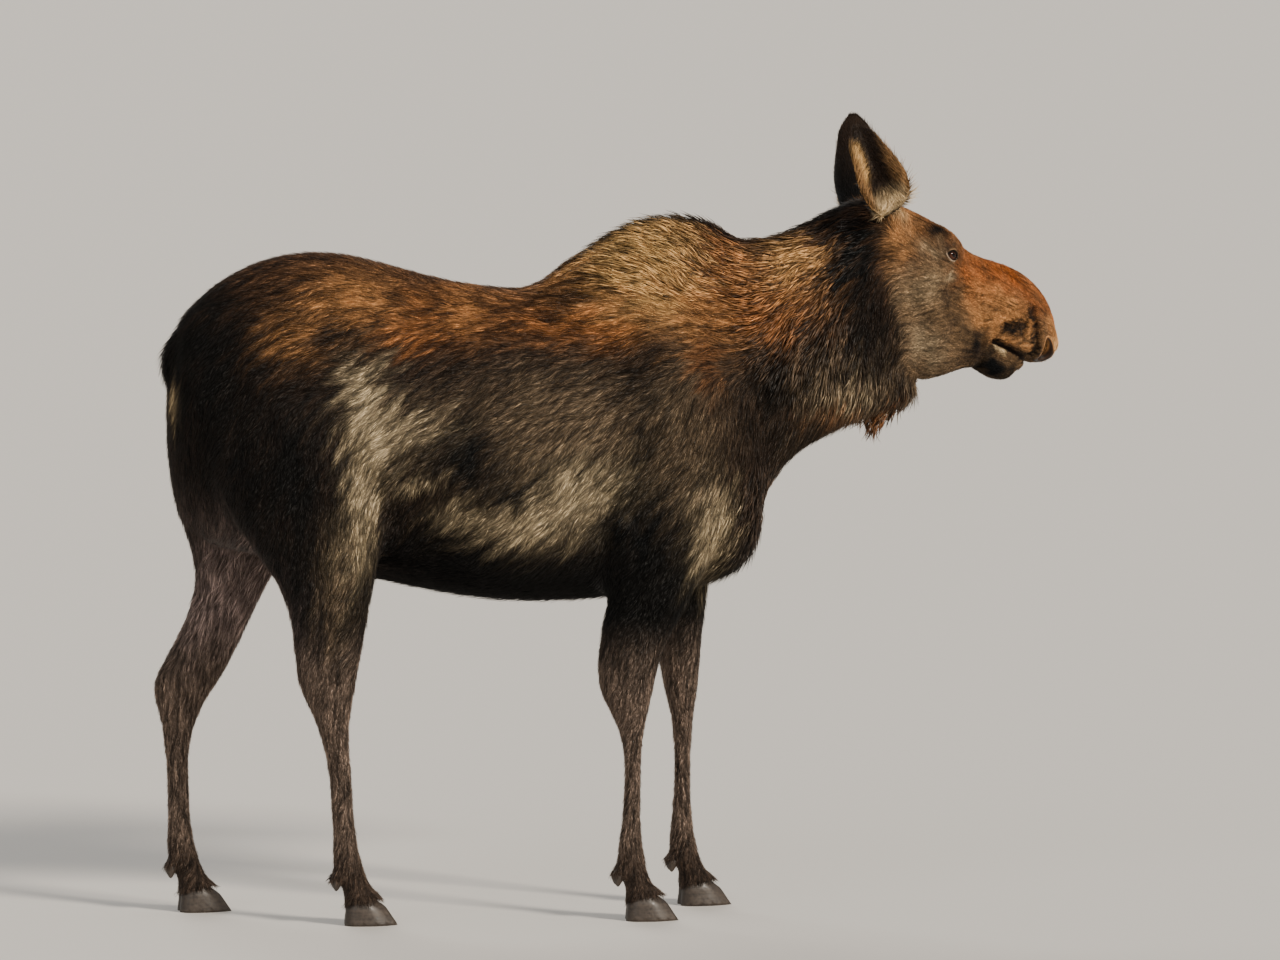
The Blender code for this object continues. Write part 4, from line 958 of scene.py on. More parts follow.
def sink_round_eye(mesh, side):
    """Lowers the skin beneath the lids, so that it can't show between them."""
    points = points_of(mesh)
    away, distance = away_from_eye(points, side)
    share = ramp(opening_scale(points, side, SUNK_SCALE), 1.08, 0.94) * (distance < EYE_REACH)
    sunk = np.minimum(distance, EYE_RADIUS - SUNK_DEPTH)
    set_points(mesh, points + away * ((sunk / distance - 1) * share)[:, None])


def ring_faces(first, second, count):
    """Triangles between two rings of points, by the number of each ring's first point."""
    faces = []
    for i in range(count):
        j = (i + 1) % count
        faces += [(first + i, first + j, second + j), (first + i, second + j, second + i)]
    return faces


def eye_piece(name, side, points, faces):
    """An object whose faces point out on the left, and so are turned over on the right."""
    mesh = triangle_mesh(f"{name}_{SIDES[side]}", points, np.array(faces))
    if side == RIGHT:
        mesh.flip_normals()
    return new_object(f"{name}_{SIDES[side]}", mesh)


def skin_distance(surface, side, scale):
    """How far the skin is from the middle of the eye, along the rays at a scale."""
    centre = np.array(eye_centre(side))
    found = []
    for ray in eye_rays(side, scale):
        hit = surface.ray_cast(Vector(centre + ray * RAY_START), Vector(-ray), RAY_START + 0.01)[0]
        found.append(EYE_RADIUS if hit is None else (hit - Vector(centre)).length)
    return np.array(found)


def lid_ring(side, scale, distance):
    """Points on the rays at a scale, at a distance from the middle of the eye."""
    return np.array(eye_centre(side)) + eye_rays(side, scale) * np.reshape(distance, (-1, 1))


def eyelids(side, surface):
    """A closed ring of skin round the opening, rolled at its edge and creased above it."""
    meets = skin_distance(surface, side, LID_MEETS)
    rings = []
    for scale, height in LID_ROWS:
        share = ramp(scale, LID_FADES, LID_MEETS)
        distance = EYE_RADIUS + height + (meets - EYE_RADIUS - height) * share
        rings.append(lid_ring(side, scale, distance))
    under = skin_distance(surface, side, LID_ENDS) - LID_UNDER_SKIN
    rings.append(lid_ring(side, LID_MEETS, meets + LID_OVER_SKIN))
    rings.append(lid_ring(side, LID_ENDS, under))
    rings.append(lid_ring(side, LID_BACK, EYE_RADIUS - LID_BACK_DEPTH))
    faces = []
    for row in range(len(rings)):
        following = (row + 1) % len(rings)
        faces += ring_faces(row * LID_POINTS, following * LID_POINTS, LID_POINTS)
    return subdivide(eye_piece("eyelids", side, np.concatenate(rings), faces), 1)


def eyeball_rays(side):
    """Directions from the middle of the eye, row by row from the pupil to the back."""
    gaze, ahead, above = eye_axes(side)
    angles = np.pi * np.linspace(0, 1, BALL_ROWS + 2)[1:-1] ** 1.5
    turn = np.linspace(0, 2 * np.pi, BALL_COLUMNS, endpoint=False)
    ring = np.outer(np.cos(turn), ahead) + np.outer(np.sin(turn), above)
    rows = [gaze * np.cos(angle) + ring * np.sin(angle) for angle in angles]
    return np.concatenate([gaze[None], *rows, -gaze[None]])


def eyeball_faces():
    """Triangles between the first point, the rows and the last point."""
    count, last = BALL_COLUMNS, 1 + BALL_ROWS * BALL_COLUMNS
    faces = []
    for i in range(count):
        j = (i + 1) % count
        faces += [(0, 1 + j, 1 + i), (last - count + i, last - count + j, last)]
    for row in range(BALL_ROWS - 1):
        faces += ring_faces(1 + row * count, 1 + (row + 1) * count, count)
    return faces


def eyeball_colours(rays, off, side):
    """The pupil, the iris with its spokes and its dark edge, and the white, which is dark too."""
    _, ahead, above = eye_axes(side)
    x, z = rays @ ahead, rays @ above
    iris = ramp(off, IRIS_ANGLE + 3, IRIS_ANGLE - 1)
    colour = mixed(rgb(30, 22, 18), rgb(60, 33, 21), iris)
    turn = np.arctan2(z, x)
    spokes = 1 + 0.25 * np.sin(turn * 31 + 2 * np.sin(turn * 7))
    colour = colour * np.where(iris > 0.5, spokes, 1)[:, None]
    colour = mixed(colour, rgb(18, 13, 11), 0.85 * peak(off, IRIS_ANGLE, 2.5))
    pupil = ramp(np.hypot(x / PUPIL[0], z / PUPIL[1]), 1.10, 0.92)
    return mixed(colour, NEARLY_BLACK, pupil * (x**2 + z**2 < 0.5))


def eyeball(side):
    """The globe with the bulge of its cornea."""
    rays = eyeball_rays(side)
    off = np.arccos(np.clip(rays @ eye_axes(side)[0], -1, 1))
    bulge = CORNEA * ramp(off, math.radians(36), math.radians(8))
    points = np.array(eye_centre(side)) + rays * (EYE_RADIUS - BALL_INSET + bulge)[:, None]
    made = eye_piece("eyeball", side, points, eyeball_faces())
    paint(made.data, eyeball_colours(rays, np.degrees(off), side))
    return made


# ---------------- ears
EAR_OPENING = {RIGHT: (0.46, -0.82, -0.34), LEFT: (0.40, 0.84, -0.36)}
EAR_LENGTH = 0.235
EAR_INSET = 0.0022
EAR_TIP_SPREAD = 0.009


def ear_axes(side):
    """Root, long axis, the way the cup opens, and the axis across it."""
    root = np.array(HEAD @ Vector(EAR_ROOT[side]))
    line = Vector(EAR_LINE[side]).normalized()
    opening = Vector(EAR_OPENING[side])
    opening = (opening - line * opening.dot(line)).normalized()
    return root, np.array(line), np.array(opening), np.array(line.cross(opening))


def ear_places(points, side):
    """Share of the ear's length, and place across it."""
    root, line, _, across = ear_axes(side)
    away = points - root
    return away @ line / EAR_LENGTH, away @ across


def ear_skin(side):
    name = SIDES[side]
    made = smooth_copy(f"ear_{name}", f"ear_skin_{name}", levels=2, crease_angle=100)
    points = points_of(made.data) - normals_of(made.data) * EAR_INSET
    share, across = ear_places(points, side)
    widen = ramp(share, 0.66, 0.90) * np.clip(across / 0.03, -1, 1) * EAR_TIP_SPREAD
    set_points(made.data, points + widen[:, None] * ear_axes(side)[3])
    return made


def ear_inside(points, normals, side):
    """1 inside the cup and 0 on the ear's back."""
    share, across = ear_places(points, side)
    opening = ear_axes(side)[2]
    spread = np.abs(across) / 0.07
    return ramp(normals @ opening, -0.05 + 0.1 * spread, 0.35) * ramp(share, 0.02, 0.12)


def ear_markings(points, normals, side):
    """Dark on the back, and inside dark with a brown rim, a pale root and a pale streak."""
    share, across = ear_places(points, side)
    inside = ear_inside(points, normals, side)
    back = mixed(BLACKISH, DARK_BROWN, ramp(share, 0.1, 0.9))
    rim = ramp(np.abs(across), 0.030, 0.058)
    hollow = mixed(DARK_BROWN * 0.7, EAR_RIM, rim * ramp(share, 1.0, 0.7))
    hollow = mixed(hollow, PALE, 0.95 * ramp(share, 0.28, 0.10))
    streak = peak(-across * side, -0.030, 0.014)
    hollow = mixed(hollow, STRAW, 0.8 * streak * ramp(share, 0.30, 0.45) * ramp(share, 0.9, 0.7))
    uneven = 1 + 0.12 * waves(points, 0.02, 17) + 0.28 * inside * waves(points, 0.012, 18)
    return mixed(back, hollow, inside) * np.clip(uneven, 0.4, 1.8)[:, None]


# ---------------- tufts
ROOT_DEPTH, ROOT_SHARE = 0.001, 0.05  # a root is this deep, or a share of the length if less
PATCH = 0.003  # side of a tuft's place on the skin's unwrap
LONG_FROM = 0.048  # hair at least this long is curved
BRIGHTEST = 0.92  # the most of any one colour in a tuft
ROOT_LIGHT = 0.55  # how much lighter the roots of pale hair are
DARK_TUFTS, PALE_TUFTS = (0.18, 0.50), (0.16, 1.7)  # share of all tufts, and their shade
SHADE_BY_LOCK, SHADE_BY_TUFT = 0.55, 0.20  # how much the other shades differ
LENGTH_SPREAD, WIDTH_SPREAD = (0.75, 1.20), (0.75, 1.25)
TUFT_HEIGHT, ROOT_WIDTH = 0.42, 0.8  # as shares of the tuft's width


def patch_places(layers):
    """Where the corners of a tuft's faces lie in its patch, which is 1 across. The root's cap is
    at the foot, and each layer above it holds three strips of the given corners."""
    places = [[(0.0, 0.0), (1.0, 0.0), (0.5, 0.12)]]
    for low, high, faces in layers:
        for left, right in ((0.0, 0.34), (0.34, 0.67), (0.67, 1.0)):
            at = {"a": (left, low), "b": (right, low), "c": (right, high), "d": (left, high)}
            at["t"] = ((left + right) / 2, high)
            places += [[at[corner] for corner in face] for face in faces]
    return np.array(places)


# Corners run left, right and top, in rings from the root, and the tip is the last. Faces are the
# root's cap and then the sides. Tip shares say how much of the tip's colour each corner has, and
# fullness is the part of its length times its width that a tuft covers.
CURVED = {
    "faces": np.array([
        (0, 1, 2), (0, 2, 5), (0, 5, 3), (2, 1, 4), (2, 4, 5),
        (1, 0, 3), (1, 3, 4), (3, 5, 6), (5, 4, 6), (4, 3, 6),
    ]),
    "places": patch_places([(0.14, 0.55, ("abc", "acd")), (0.55, 1.0, ("abt",))]),
    "tip shares": (0.0, 0.0, 0.0, 0.6, 0.6, 0.6, 1.0),
    "fullness": 0.62,
}  # fmt: skip
STRAIGHT = {
    "faces": np.array([(0, 1, 2), (0, 2, 3), (2, 1, 3), (1, 0, 3)]),
    "places": patch_places([(0.14, 1.0, ("abt",))]),
    "tip shares": (0.15, 0.15, 0.15, 1.0),
    "fullness": 0.5,
}  # fmt: skip
# How tufts gather in locks, the locks' cell, how wild and how lifted they are, and the shade of
# their roots: partly darker underhair and partly painted shade deep in the coat.
LONG = {"shape": CURVED, "gather": 0.55, "cell": 0.017, "wild": 0.11, "lift": 1.0, "root": 0.32}
BODY = {"shape": STRAIGHT, "gather": 0.40, "cell": 0.013, "wild": 0.12, "lift": 1.1, "root": 0.35}
SHORT = {"shape": STRAIGHT, "gather": 0.20, "cell": 0.008, "wild": 0.13, "lift": 1.5, "root": 0.66}


class Roots:
    """Places on a surface where tufts grow."""

    def __init__(self, points, normals, uv):
        self.points, self.normals, self.uv = points, normals, uv
        self.count = len(points)

    def only(self, chosen):
        return Roots(self.points[chosen], self.normals[chosen], self.uv[chosen])


def spread_roots(made, density_at, seed):
    """Roots spread evenly, density_at(points, normals) of them to the square metre."""
    mesh = made.data
    mesh.calc_loop_triangles()
    corners = read_rows(mesh.loop_triangles, "vertices", 3, np.int32)
    loops = read_rows(mesh.loop_triangles, "loops", 3, np.int32)
    places, normals = points_of(mesh), normals_of(mesh)
    uv = read_rows(mesh.uv_layers["OFBake"].data, "uv", 2)
    a, b, c = (places[corners[:, i]] for i in range(3))
    facing = np.cross(b - a, c - a)
    area = np.linalg.norm(facing, axis=1) / 2
    reach = np.cumsum(area * density_at((a + b + c) / 3, unit(facing)))
    count = int(reach[-1])
    rng = np.random.default_rng(seed)
    marks = np.arange(count) + rng.uniform(0, 1, count)
    chosen = np.searchsorted(reach, marks * reach[-1] / max(count, 1))
    chosen = np.minimum(chosen, len(corners) - 1)
    first, second = rng.uniform(size=(2, count))
    over = first + second > 1
    first[over], second[over] = 1 - first[over], 1 - second[over]
    shares = np.column_stack([1 - first - second, first, second])[..., None]
    return Roots(
        (places[corners[chosen]] * shares).sum(1),
        unit((normals[corners[chosen]] * shares).sum(1)),
        (uv[loops[chosen]] * shares).sum(1),
    )


def clump_centres(points, cell, seed):
    """A lock's middle for each root, and a number from 0 to 1 that its tufts share. Both are drawn
    from the numbers of the root's cell, mixed up by large primes and a linear congruence."""
    number = np.floor(points / cell).astype(np.int64)
    mixed_up = number @ np.array([73856093, 19349663, 83492791]) + seed * 7919
    shared = np.empty((len(points), 4))
    for i in range(4):
        mixed_up = (mixed_up * 1103515245 + 12345 + i) & 0x7FFFFFFF
        shared[:, i] = (mixed_up >> 8 & 0xFFFF) / 0xFFFF
    return (number + shared[:, :3]) * cell, shared[:, 3]


def lifted(directions, normals, angle):
    """Directions on the surface raised from it by an angle."""
    return directions * np.cos(angle)[:, None] + normals * np.sin(angle)[:, None]


def tuft_lines(roots, directions, length, lift, lock, style, rng):
    """The way across each tuft, and the directions of its lower and upper half."""
    normals, (centre, shared) = roots.normals, lock
    gather = centre - roots.points
    gather -= normals * (gather * normals).sum(1)[:, None]
    ahead = turned(directions, normals, style["wild"] * rng.normal(size=roots.count))
    ahead = unit(ahead + gather / np.maximum(length, 1e-4)[:, None] * style["gather"])
    steep = style["lift"] * lift * rng.uniform(0.5, 1.5, roots.count) * (0.75 + 0.5 * shared)
    curled = turned(ahead, normals, style["wild"] * rng.normal(size=roots.count))
    lower, upper = lifted(ahead, normals, steep * 1.35), lifted(curled, normals, steep * 0.5)
    return np.cross(normals, ahead), lower, upper


def tuft_corners(roots, lines, length, width, curved):
    """The corners of each tuft, which narrows from a ring at its root to its tip."""
    across, lower, upper = lines
    base = roots.points - roots.normals * np.minimum(ROOT_DEPTH, ROOT_SHARE * length)[:, None]
    half, rise = across * width[:, None] / 2, roots.normals * width[:, None] * TUFT_HEIGHT
    root_ring = [base + half * ROOT_WIDTH, base - half * ROOT_WIDTH, base + rise]
    if not curved:
        return np.stack([*root_ring, base + unit(lower + upper) * length[:, None]], axis=1)
    middle = base + lower * length[:, None] * 0.5
    tip = middle + upper * length[:, None] * 0.5
    return np.stack([*root_ring, middle + half, middle - half, middle + rise, tip], axis=1)


def tuft_tints(colours, shared, style, rng):
    """The colour at each corner: the coat's at the tip, varied by tuft, and darker at the root, as
    underhair and as painted shade deep in the coat.
    """
    shade = 1 + SHADE_BY_LOCK * (shared - 0.5) + SHADE_BY_TUFT * rng.normal(size=len(shared))
    odd = rng.uniform(size=len(shared))
    shade = np.where(odd > 1 - PALE_TUFTS[0], shade * PALE_TUFTS[1], shade)
    shade = np.where(odd < DARK_TUFTS[0], shade * DARK_TUFTS[1], shade)
    tips = colours * np.clip(shade, 0.30, 2.4)[:, None]
    tips /= np.maximum(1, tips.max(axis=1) / BRIGHTEST)[:, None]
    root_shade = np.minimum(style["root"] + ROOT_LIGHT * tips.mean(axis=1), 0.85)
    roots = tips * root_shade[:, None]
    shares = np.array(style["shape"]["tip shares"])
    return roots[:, None] + (tips - roots)[:, None] * shares[:, None]


def tufts(name, roots, directions, length, width, lift, colours, style, seed):
    """A joined mesh of closed tufts. lift is the mean angle over the skin."""
    rng = np.random.default_rng(seed)
    length = length * rng.uniform(*LENGTH_SPREAD, roots.count)
    width = width * rng.uniform(*WIDTH_SPREAD, roots.count)
    lock = clump_centres(roots.points, style["cell"], seed)
    lines = tuft_lines(roots, directions, length, lift, lock, style, rng)
    corners = tuft_corners(roots, lines, length, width, style["shape"] is CURVED)
    numbers = np.arange(roots.count)[:, None, None] * corners.shape[1]
    faces = (numbers + style["shape"]["faces"]).reshape(-1, 3)
    mesh = triangle_mesh(name, corners.reshape(-1, 3), faces)
    paint(mesh, tuft_tints(colours, lock[1], style, rng).reshape(-1, 3))
    uv = roots.uv[:, None, None] * (1 - PATCH) + style["shape"]["places"] * PATCH
    layer = mesh.uv_layers.new(name="OFBake")
    layer.data.foreach_set("uv", uv.astype(np.float32).ravel())
    return new_object(name, mesh)


# ---------------- the coat
# Where hair stands out more, both sides folded onto the left: centre, radii, how much. The
# ear's row is in the head's axes.
LIFTED = {
    "crest": ((0.15, 0, 1.7), (0.25, 0.08, 0.06), 0.6),
    "throat": ((0.64, 0.07, 1.24), (0.1, 0.08, 0.06), 0.8),
    "brisket": ((0.34, 0, 0.92), (0.14, 0.14, 0.1), 0.5),
    "belly": ((-0.2, 0, 0.77), (0.4, 0.2, 0.03), 0.4),
}
EAR_LIFTED = ((0.0, 0.078, -0.035), EAR_ROOT_REACH, 1.5)
LEG_FROM, LEG_TO = 0.50, 0.62  # heights between which the short hair of the legs ends
HORN_TOP = 0.030  # no hair grows from below this height
MUZZLE = ((0.58, 0.0, -0.04), (0.10, 0.12, 0.10))  # middle and radii, where the coat is thinner
LONG_LAYERS, BODY_LAYERS, LEG_LAYERS, HEAD_LAYERS = 2.5, 1.8, 1.9, 2.2  # how deep the tufts lie


def tuft_width(length):
    return 0.0008 + 0.046 * np.minimum(length, 0.030) + 0.030 * np.maximum(length - 0.030, 0)


def cover(length, layers, shape):
    """Tufts to the square metre that lie the given number of layers deep."""
    return layers / (shape["fullness"] * length * tuft_width(length))


def bare_share(points):
    """1 where no hair grows: in the nostrils, on the mouth line and at the eyes."""
    places = head_places(points)
    bare = nostril_share(places) < 1.22
    bare |= near_head_path(places, MOUTH, 0.008) > 0.10
    for side in SIDES:
        bare |= opening_scale(points, side, 1.62) < 1
    return bare.astype(float)


def is_long(points):
    return ramp(hair_length(points), LONG_FROM - 0.0015, LONG_FROM + 0.0015)


def on_body(points):
    return (1 - head_share(points)) * ramp(points[:, 2], LEG_FROM, LEG_TO)


def long_density(points, _):
    """The curved tufts of the hump, the neck, the bell, the brisket, the belly and the tail."""
    return cover(hair_length(points), LONG_LAYERS, CURVED) * (on_body(points) * is_long(points))


def body_density(points, _):
    """The straight tufts of the sides, the rump and the upper legs."""
    share = on_body(points) * (1 - is_long(points))
    return cover(hair_length(points), BODY_LAYERS, STRAIGHT) * share


def short_density(points, normals):
    """The short tufts of the head and the lower legs, but not under the feet."""
    on_leg = ramp(points[:, 2], LEG_TO, LEG_FROM) * (points[:, 2] > HORN_TOP)
    on_leg *= ramp(normals[:, 2], -0.75, -0.55)
    muzzle = blob(head_places(points), *MUZZLE)
    layers = LEG_LAYERS * on_leg + HEAD_LAYERS * head_share(points) * (1 - 0.40 * muzzle)
    return cover(hair_length(points), layers * (1 - bare_share(points)), STRAIGHT)


def lift_angle(points):
    """How far hair stands out over the skin, in radians."""
    places = mirrored(points)
    more = sum(blob(places, centre, radii) * much for centre, radii, much in LIFTED.values())
    centre, radii, much = EAR_LIFTED
    return 0.16 * (1 + (more + blob(head_places(points), centre, radii) * much))


def coat_pieces(name, roots, style, seed):
    """The tufts on the roots, in pieces from tail to head under the limit of triangles."""
    count = math.ceil(roots.count * len(style["shape"]["faces"]) / PIECE_TRIANGLES)
    order = np.argsort(roots.points[:, 0], kind="stable")
    pieces = []
    for number, chosen in enumerate(np.array_split(order, count), start=1):
        part = roots.only(chosen)
        title = f"{name}_{number}" if count > 1 else name
        length = hair_length(part.points)
        width, lift = tuft_width(length), lift_angle(part.points)
        ahead = lie(part.points, part.normals)
        colours = coat_colours_and_painted_light(part.points, ahead)
        pieces.append(tufts(title, part, ahead, length, width, lift, colours, style, seed + number))
    return pieces


def skin_coat(skin):
    """All the hair that grows on the skin, each piece paired with the name of a slot."""
    short = spread_roots(skin, short_density, 2)
    on_head = head_share(short.points) > 0.01
    forward = short.points[:, 0] > -0.30
    sets = [
        ("coat_mane", spread_roots(skin, long_density, 1), LONG, 40, "coat_back"),
        ("coat_body", spread_roots(skin, body_density, 3), BODY, 50, "coat_back"),
        ("coat_head", short.only(on_head), SHORT, 60, "coat_face"),
        ("coat_forelegs", short.only(~on_head & forward), SHORT, 70, "coat_shank"),
        ("coat_hindlegs", short.only(~on_head & ~forward), SHORT, 75, "coat_shank"),
    ]
    made = []
    for name, roots, style, seed, slot in sets:
        made += [(piece, slot) for piece in coat_pieces(name, roots, style, seed)]
    return made


def ear_hair_length(share, across, inside):
    """Longer inside, most at the rims and the root, and shorter towards the tip."""
    length = 0.011 + inside * (0.012 + 0.016 * ramp(np.abs(across), 0.020, 0.050))
    length += 0.012 * ramp(share, 0.20, 0.05)
    return length * (1 - 0.45 * ramp(share, 0.75, 1.0))


def ear_coat(made, side):
    """Short hair on the ear's back, longer pale hair inside its rims."""
    def density(points, normals):
        tip = ramp(ear_places(points, side)[0], 0.78, 0.92)
        return 70_000 + 30_000 * ear_inside(points, normals, side) + 70_000 * tip

    roots = spread_roots(made, density, 20 + side)
    roots = roots.only(ear_places(roots.points, side)[0] > -0.06)
    share, across = ear_places(roots.points, side)
    inside = ear_inside(roots.points, roots.normals, side)
    length = ear_hair_length(share, across, inside)
    _, line, _, sideways = ear_axes(side)
    inward = -np.sign(across)[:, None] * sideways
    ahead = along_surface(line + inside[:, None] * (0.35 * inward), roots.normals)
    colours = ear_markings(roots.points, roots.normals, side)
    name, width, lift = f"coat_ear_{SIDES[side]}", 0.0010 + 0.035 * length, 0.16 + 0.22 * inside
    return tufts(name, roots, ahead, length, width, lift, colours, SHORT, 80 + side)


# ---------------- hooves
RING_STEP, RING_HEIGHT = 0.0070, 0.00025  # rings of a claw's growth


def shape_dewclaw(points, middle, share):
    """Narrows a dewclaw below and above its middle."""
    taper = 1 - 0.45 * ramp(share[:, 2], 0.75, 0.0) - 0.30 * ramp(share[:, 2], 0.45, 0.95)
    points[:, :2] = middle[:2] + (points[:, :2] - middle[:2]) * taper[:, None] * 0.90


def shape_claw(points, normals, middle, share):
    """Points a claw's toe, draws its top in under the hide and adds the rings of its growth."""
    toe = ramp(share[:, 0], 0.45, 1.0)
    points[:, 1] = middle[1] + (points[:, 1] - middle[1]) * (1 - 0.30 * toe * share[:, 0])
    under = ramp(share[:, 2], 0.50, 1.0)
    points[:, :2] += (middle[:2] - points[:, :2]) * (0.16 * under)[:, None]
    points[:, 2] -= 0.012 * under
    rings = np.sin(points[:, 2] / RING_STEP * 2 * np.pi + 2 * waves(points, 0.05, 3))
    wall = ramp(np.abs(normals[:, 2]), 0.9, 0.5) * ramp(points[:, 2], 0.001, 0.006)
    points += normals * (RING_HEIGHT * rings * wall)[:, None]


def hoof(name):
    """A rounded copy of a claw or a dewclaw."""
    made = smooth_copy(name, f"hoof_{name}", levels=2, crease_angle=60)
    low, high = (np.array(corner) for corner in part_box(name))
    points, middle = points_of(made.data), (low + high) / 2
    share = (points - low) / (high - low)
    if "dewclaw" in name:
        shape_dewclaw(points, middle, share)
    else:
        shape_claw(points, normals_of(made.data), middle, share)
    set_points(made.data, points)
    made.data.shade_smooth()
    return made


# ---------------- materials
def feed(tree, made, inputs):
    """Sets a node's inputs, or links those whose value is another node's socket."""
    for key, value in inputs.items():
        if isinstance(value, bpy.types.NodeSocket):
            tree.links.new(value, made.inputs[key])
        else:
            made.inputs[key].default_value = value


def node(tree, kind, inputs, **settings):
    """A new node's outputs."""
    made = tree.nodes.new(kind)
    for key, value in settings.items():
        setattr(made, key, value)
    feed(tree, made, inputs)
    return made.outputs


def material(name, roughness, specular):
    """A new material, with its node tree and its shader."""
    made = bpy.data.materials.new(name)
    made.use_nodes = True
    shader = made.node_tree.nodes["Principled BSDF"]
    shader.inputs["Roughness"].default_value = roughness
    shader.inputs["Specular IOR Level"].default_value = specular
    return made, made.node_tree, shader


def noise(tree, scale, detail=3.0, stretch=(1, 1, 1)):
    """Noise through the piece's own space, finer along an axis with a larger stretch."""
    place = node(tree, "ShaderNodeTexCoord", {})["Object"]
    if stretch != (1, 1, 1):
        place = node(tree, "ShaderNodeMapping", {"Vector": place, "Scale": stretch})["Vector"]
    return node(tree, "ShaderNodeTexNoise", {"Vector": place, "Scale": scale, "Detail": detail})["Fac"]


def remap(tree, value, low, high, span=(0.25, 0.75)):
    """The value's span stretched to run from low to high."""
    limits = {"From Min": span[0], "From Max": span[1], "To Min": low, "To Max": high}
    return node(tree, "ShaderNodeMapRange", {"Value": value, **limits})["Result"]


def blend(tree, share, low, high):
    inputs = {"Factor": share, "A": low, "B": high}
    return node(tree, "ShaderNodeMix", inputs, data_type="RGBA")["Result"]


def tint(tree, brightness):
    """The piece's own tint, made lighter and darker by a pattern."""
    colour = node(tree, "ShaderNodeVertexColor", {}, layer_name="Tint")["Color"]
    inputs = {0: colour, "Scale": brightness}
    return node(tree, "ShaderNodeVectorMath", inputs, operation="SCALE")[0]


def bump(tree, height, strength, distance):
    inputs = {"Height": height, "Strength": strength, "Distance": distance}
    return node(tree, "ShaderNodeBump", inputs)["Normal"]


def hair_material():
    """Hair: the tint with fine lighter and darker strands, and a soft gloss."""
    made, tree, shader = material("hair", 0.45, 0.27)
    strands = noise(tree, 420, 2.0)
    feed(tree, shader, {
        "Base Color": tint(tree, remap(tree, strands, 0.70, 1.32)),
        "Roughness": remap(tree, noise(tree, 60), 0.36, 0.56),
        "Normal": bump(tree, strands, 0.25, 0.0008),
    })
    return made


def skin_material():
    """Hide under the hair, and bare skin at the nose, lips and lids, which is smoother."""
    made, tree, shader = material("hide", 0.7, 0.12)
    grain = noise(tree, 650, 4.0)
    bare = node(tree, "ShaderNodeAttribute", {}, attribute_name="Bare")["Fac"]
    feed(tree, shader, {
        "Base Color": tint(tree, remap(tree, grain, 0.70, 1.25)),
        "Roughness": remap(tree, bare, 0.75, 0.38, (0, 1)),
        "Normal": bump(tree, grain, 0.6, 0.0012),
    })
    return made


def eye_material():
    made, tree, shader = material("wet_eye", 0.06, 0.22)
    feed(tree, shader, {
        "Base Color": tint(tree, remap(tree, noise(tree, 900), 0.9, 1.1)),
        "Normal": bump(tree, noise(tree, 300), 0.02, 0.0003),
    })
    return made


def horn_material():
    """Hoof horn: dark, with paler growth lines, scuffed in places."""
    made, tree, shader = material("hoof_horn", 0.45, 0.45)
    dark, pale, worn = ((*rgb(*seen), 1) for seen in ((27, 23, 21), (60, 51, 44), (96, 84, 72)))
    lines = noise(tree, 1.0, stretch=(12, 12, 160))
    scuffs = noise(tree, 140, 5.0)
    colour = blend(tree, remap(tree, lines, 0.0, 0.8), dark, pale)
    feed(tree, shader, {
        "Base Color": blend(tree, remap(tree, scuffs, 0.0, 0.35), colour, worn),
        "Roughness": remap(tree, scuffs, 0.35, 0.60),
        "Normal": bump(tree, lines, 0.35, 0.0008),
    })
    return made


def floor_material():
    made, tree, shader = material("floor", 0.85, 0.2)
    feed(tree, shader, {
        "Base Color": (0.62, 0.60, 0.57, 1),
        "Normal": bump(tree, noise(tree, 40), 0.05, 0.001),
    })
    return made


# ---------------- the stage
FLOOR_SIZE = 440
LENS, SENSOR = 250, 36
PICTURE_WIDTH = 3.136  # metres across the picture at the animal
VIEW_AZIMUTH, VIEW_ELEVATION = math.radians(-7), math.radians(4)
VIEW_ALONG, VIEW_HEIGHT = 0.0686, 1.066  # the picture's middle, along the view's right and up
# Where each light comes from, its strength, how wide it looks in degrees, its colour.
LIGHTS = {
    "key": ((0.75, -0.85, 0.62), 4.6, 12, (1.0, 0.90, 0.77)),
    "fill": ((-0.60, -1.00, 0.50), 0.70, 50, (1.0, 0.98, 0.95)),
    "back": ((-0.30, 1.00, 0.80), 1.3, 30, (1.0, 0.96, 0.90)),
}
SKY, SKY_STRENGTH = (0.86, 0.86, 0.86, 1), 0.40


def aim(made, place, way):
    """Puts a camera or a light at a place, facing a way."""
    made.location = place
    made.rotation_mode = "QUATERNION"
    made.rotation_quaternion = way.to_track_quat("-Z", "Y")


def floor():
    bpy.ops.mesh.primitive_grid_add(x_subdivisions=4, y_subdivisions=4, size=FLOOR_SIZE)
    made = bpy.context.object
    made.name = "floor"
    made.data.materials.append(floor_material())


def camera():
    lens = bpy.data.cameras.new("camera")
    lens.lens, lens.sensor_width = LENS, SENSOR
    lens.clip_start, lens.clip_end = 0.5, 200
    across = Vector((math.cos(VIEW_AZIMUTH), math.sin(VIEW_AZIMUTH), 0))
    back = Vector((
        math.sin(VIEW_AZIMUTH) * math.cos(VIEW_ELEVATION),
        -math.cos(VIEW_AZIMUTH) * math.cos(VIEW_ELEVATION),
        math.sin(VIEW_ELEVATION),
    ))
    target = across * VIEW_ALONG + Vector((0, 0, VIEW_HEIGHT))
    made = new_object("camera", lens)
    aim(made, target + back * (PICTURE_WIDTH * LENS / SENSOR), -back)
    bpy.context.scene.camera = made


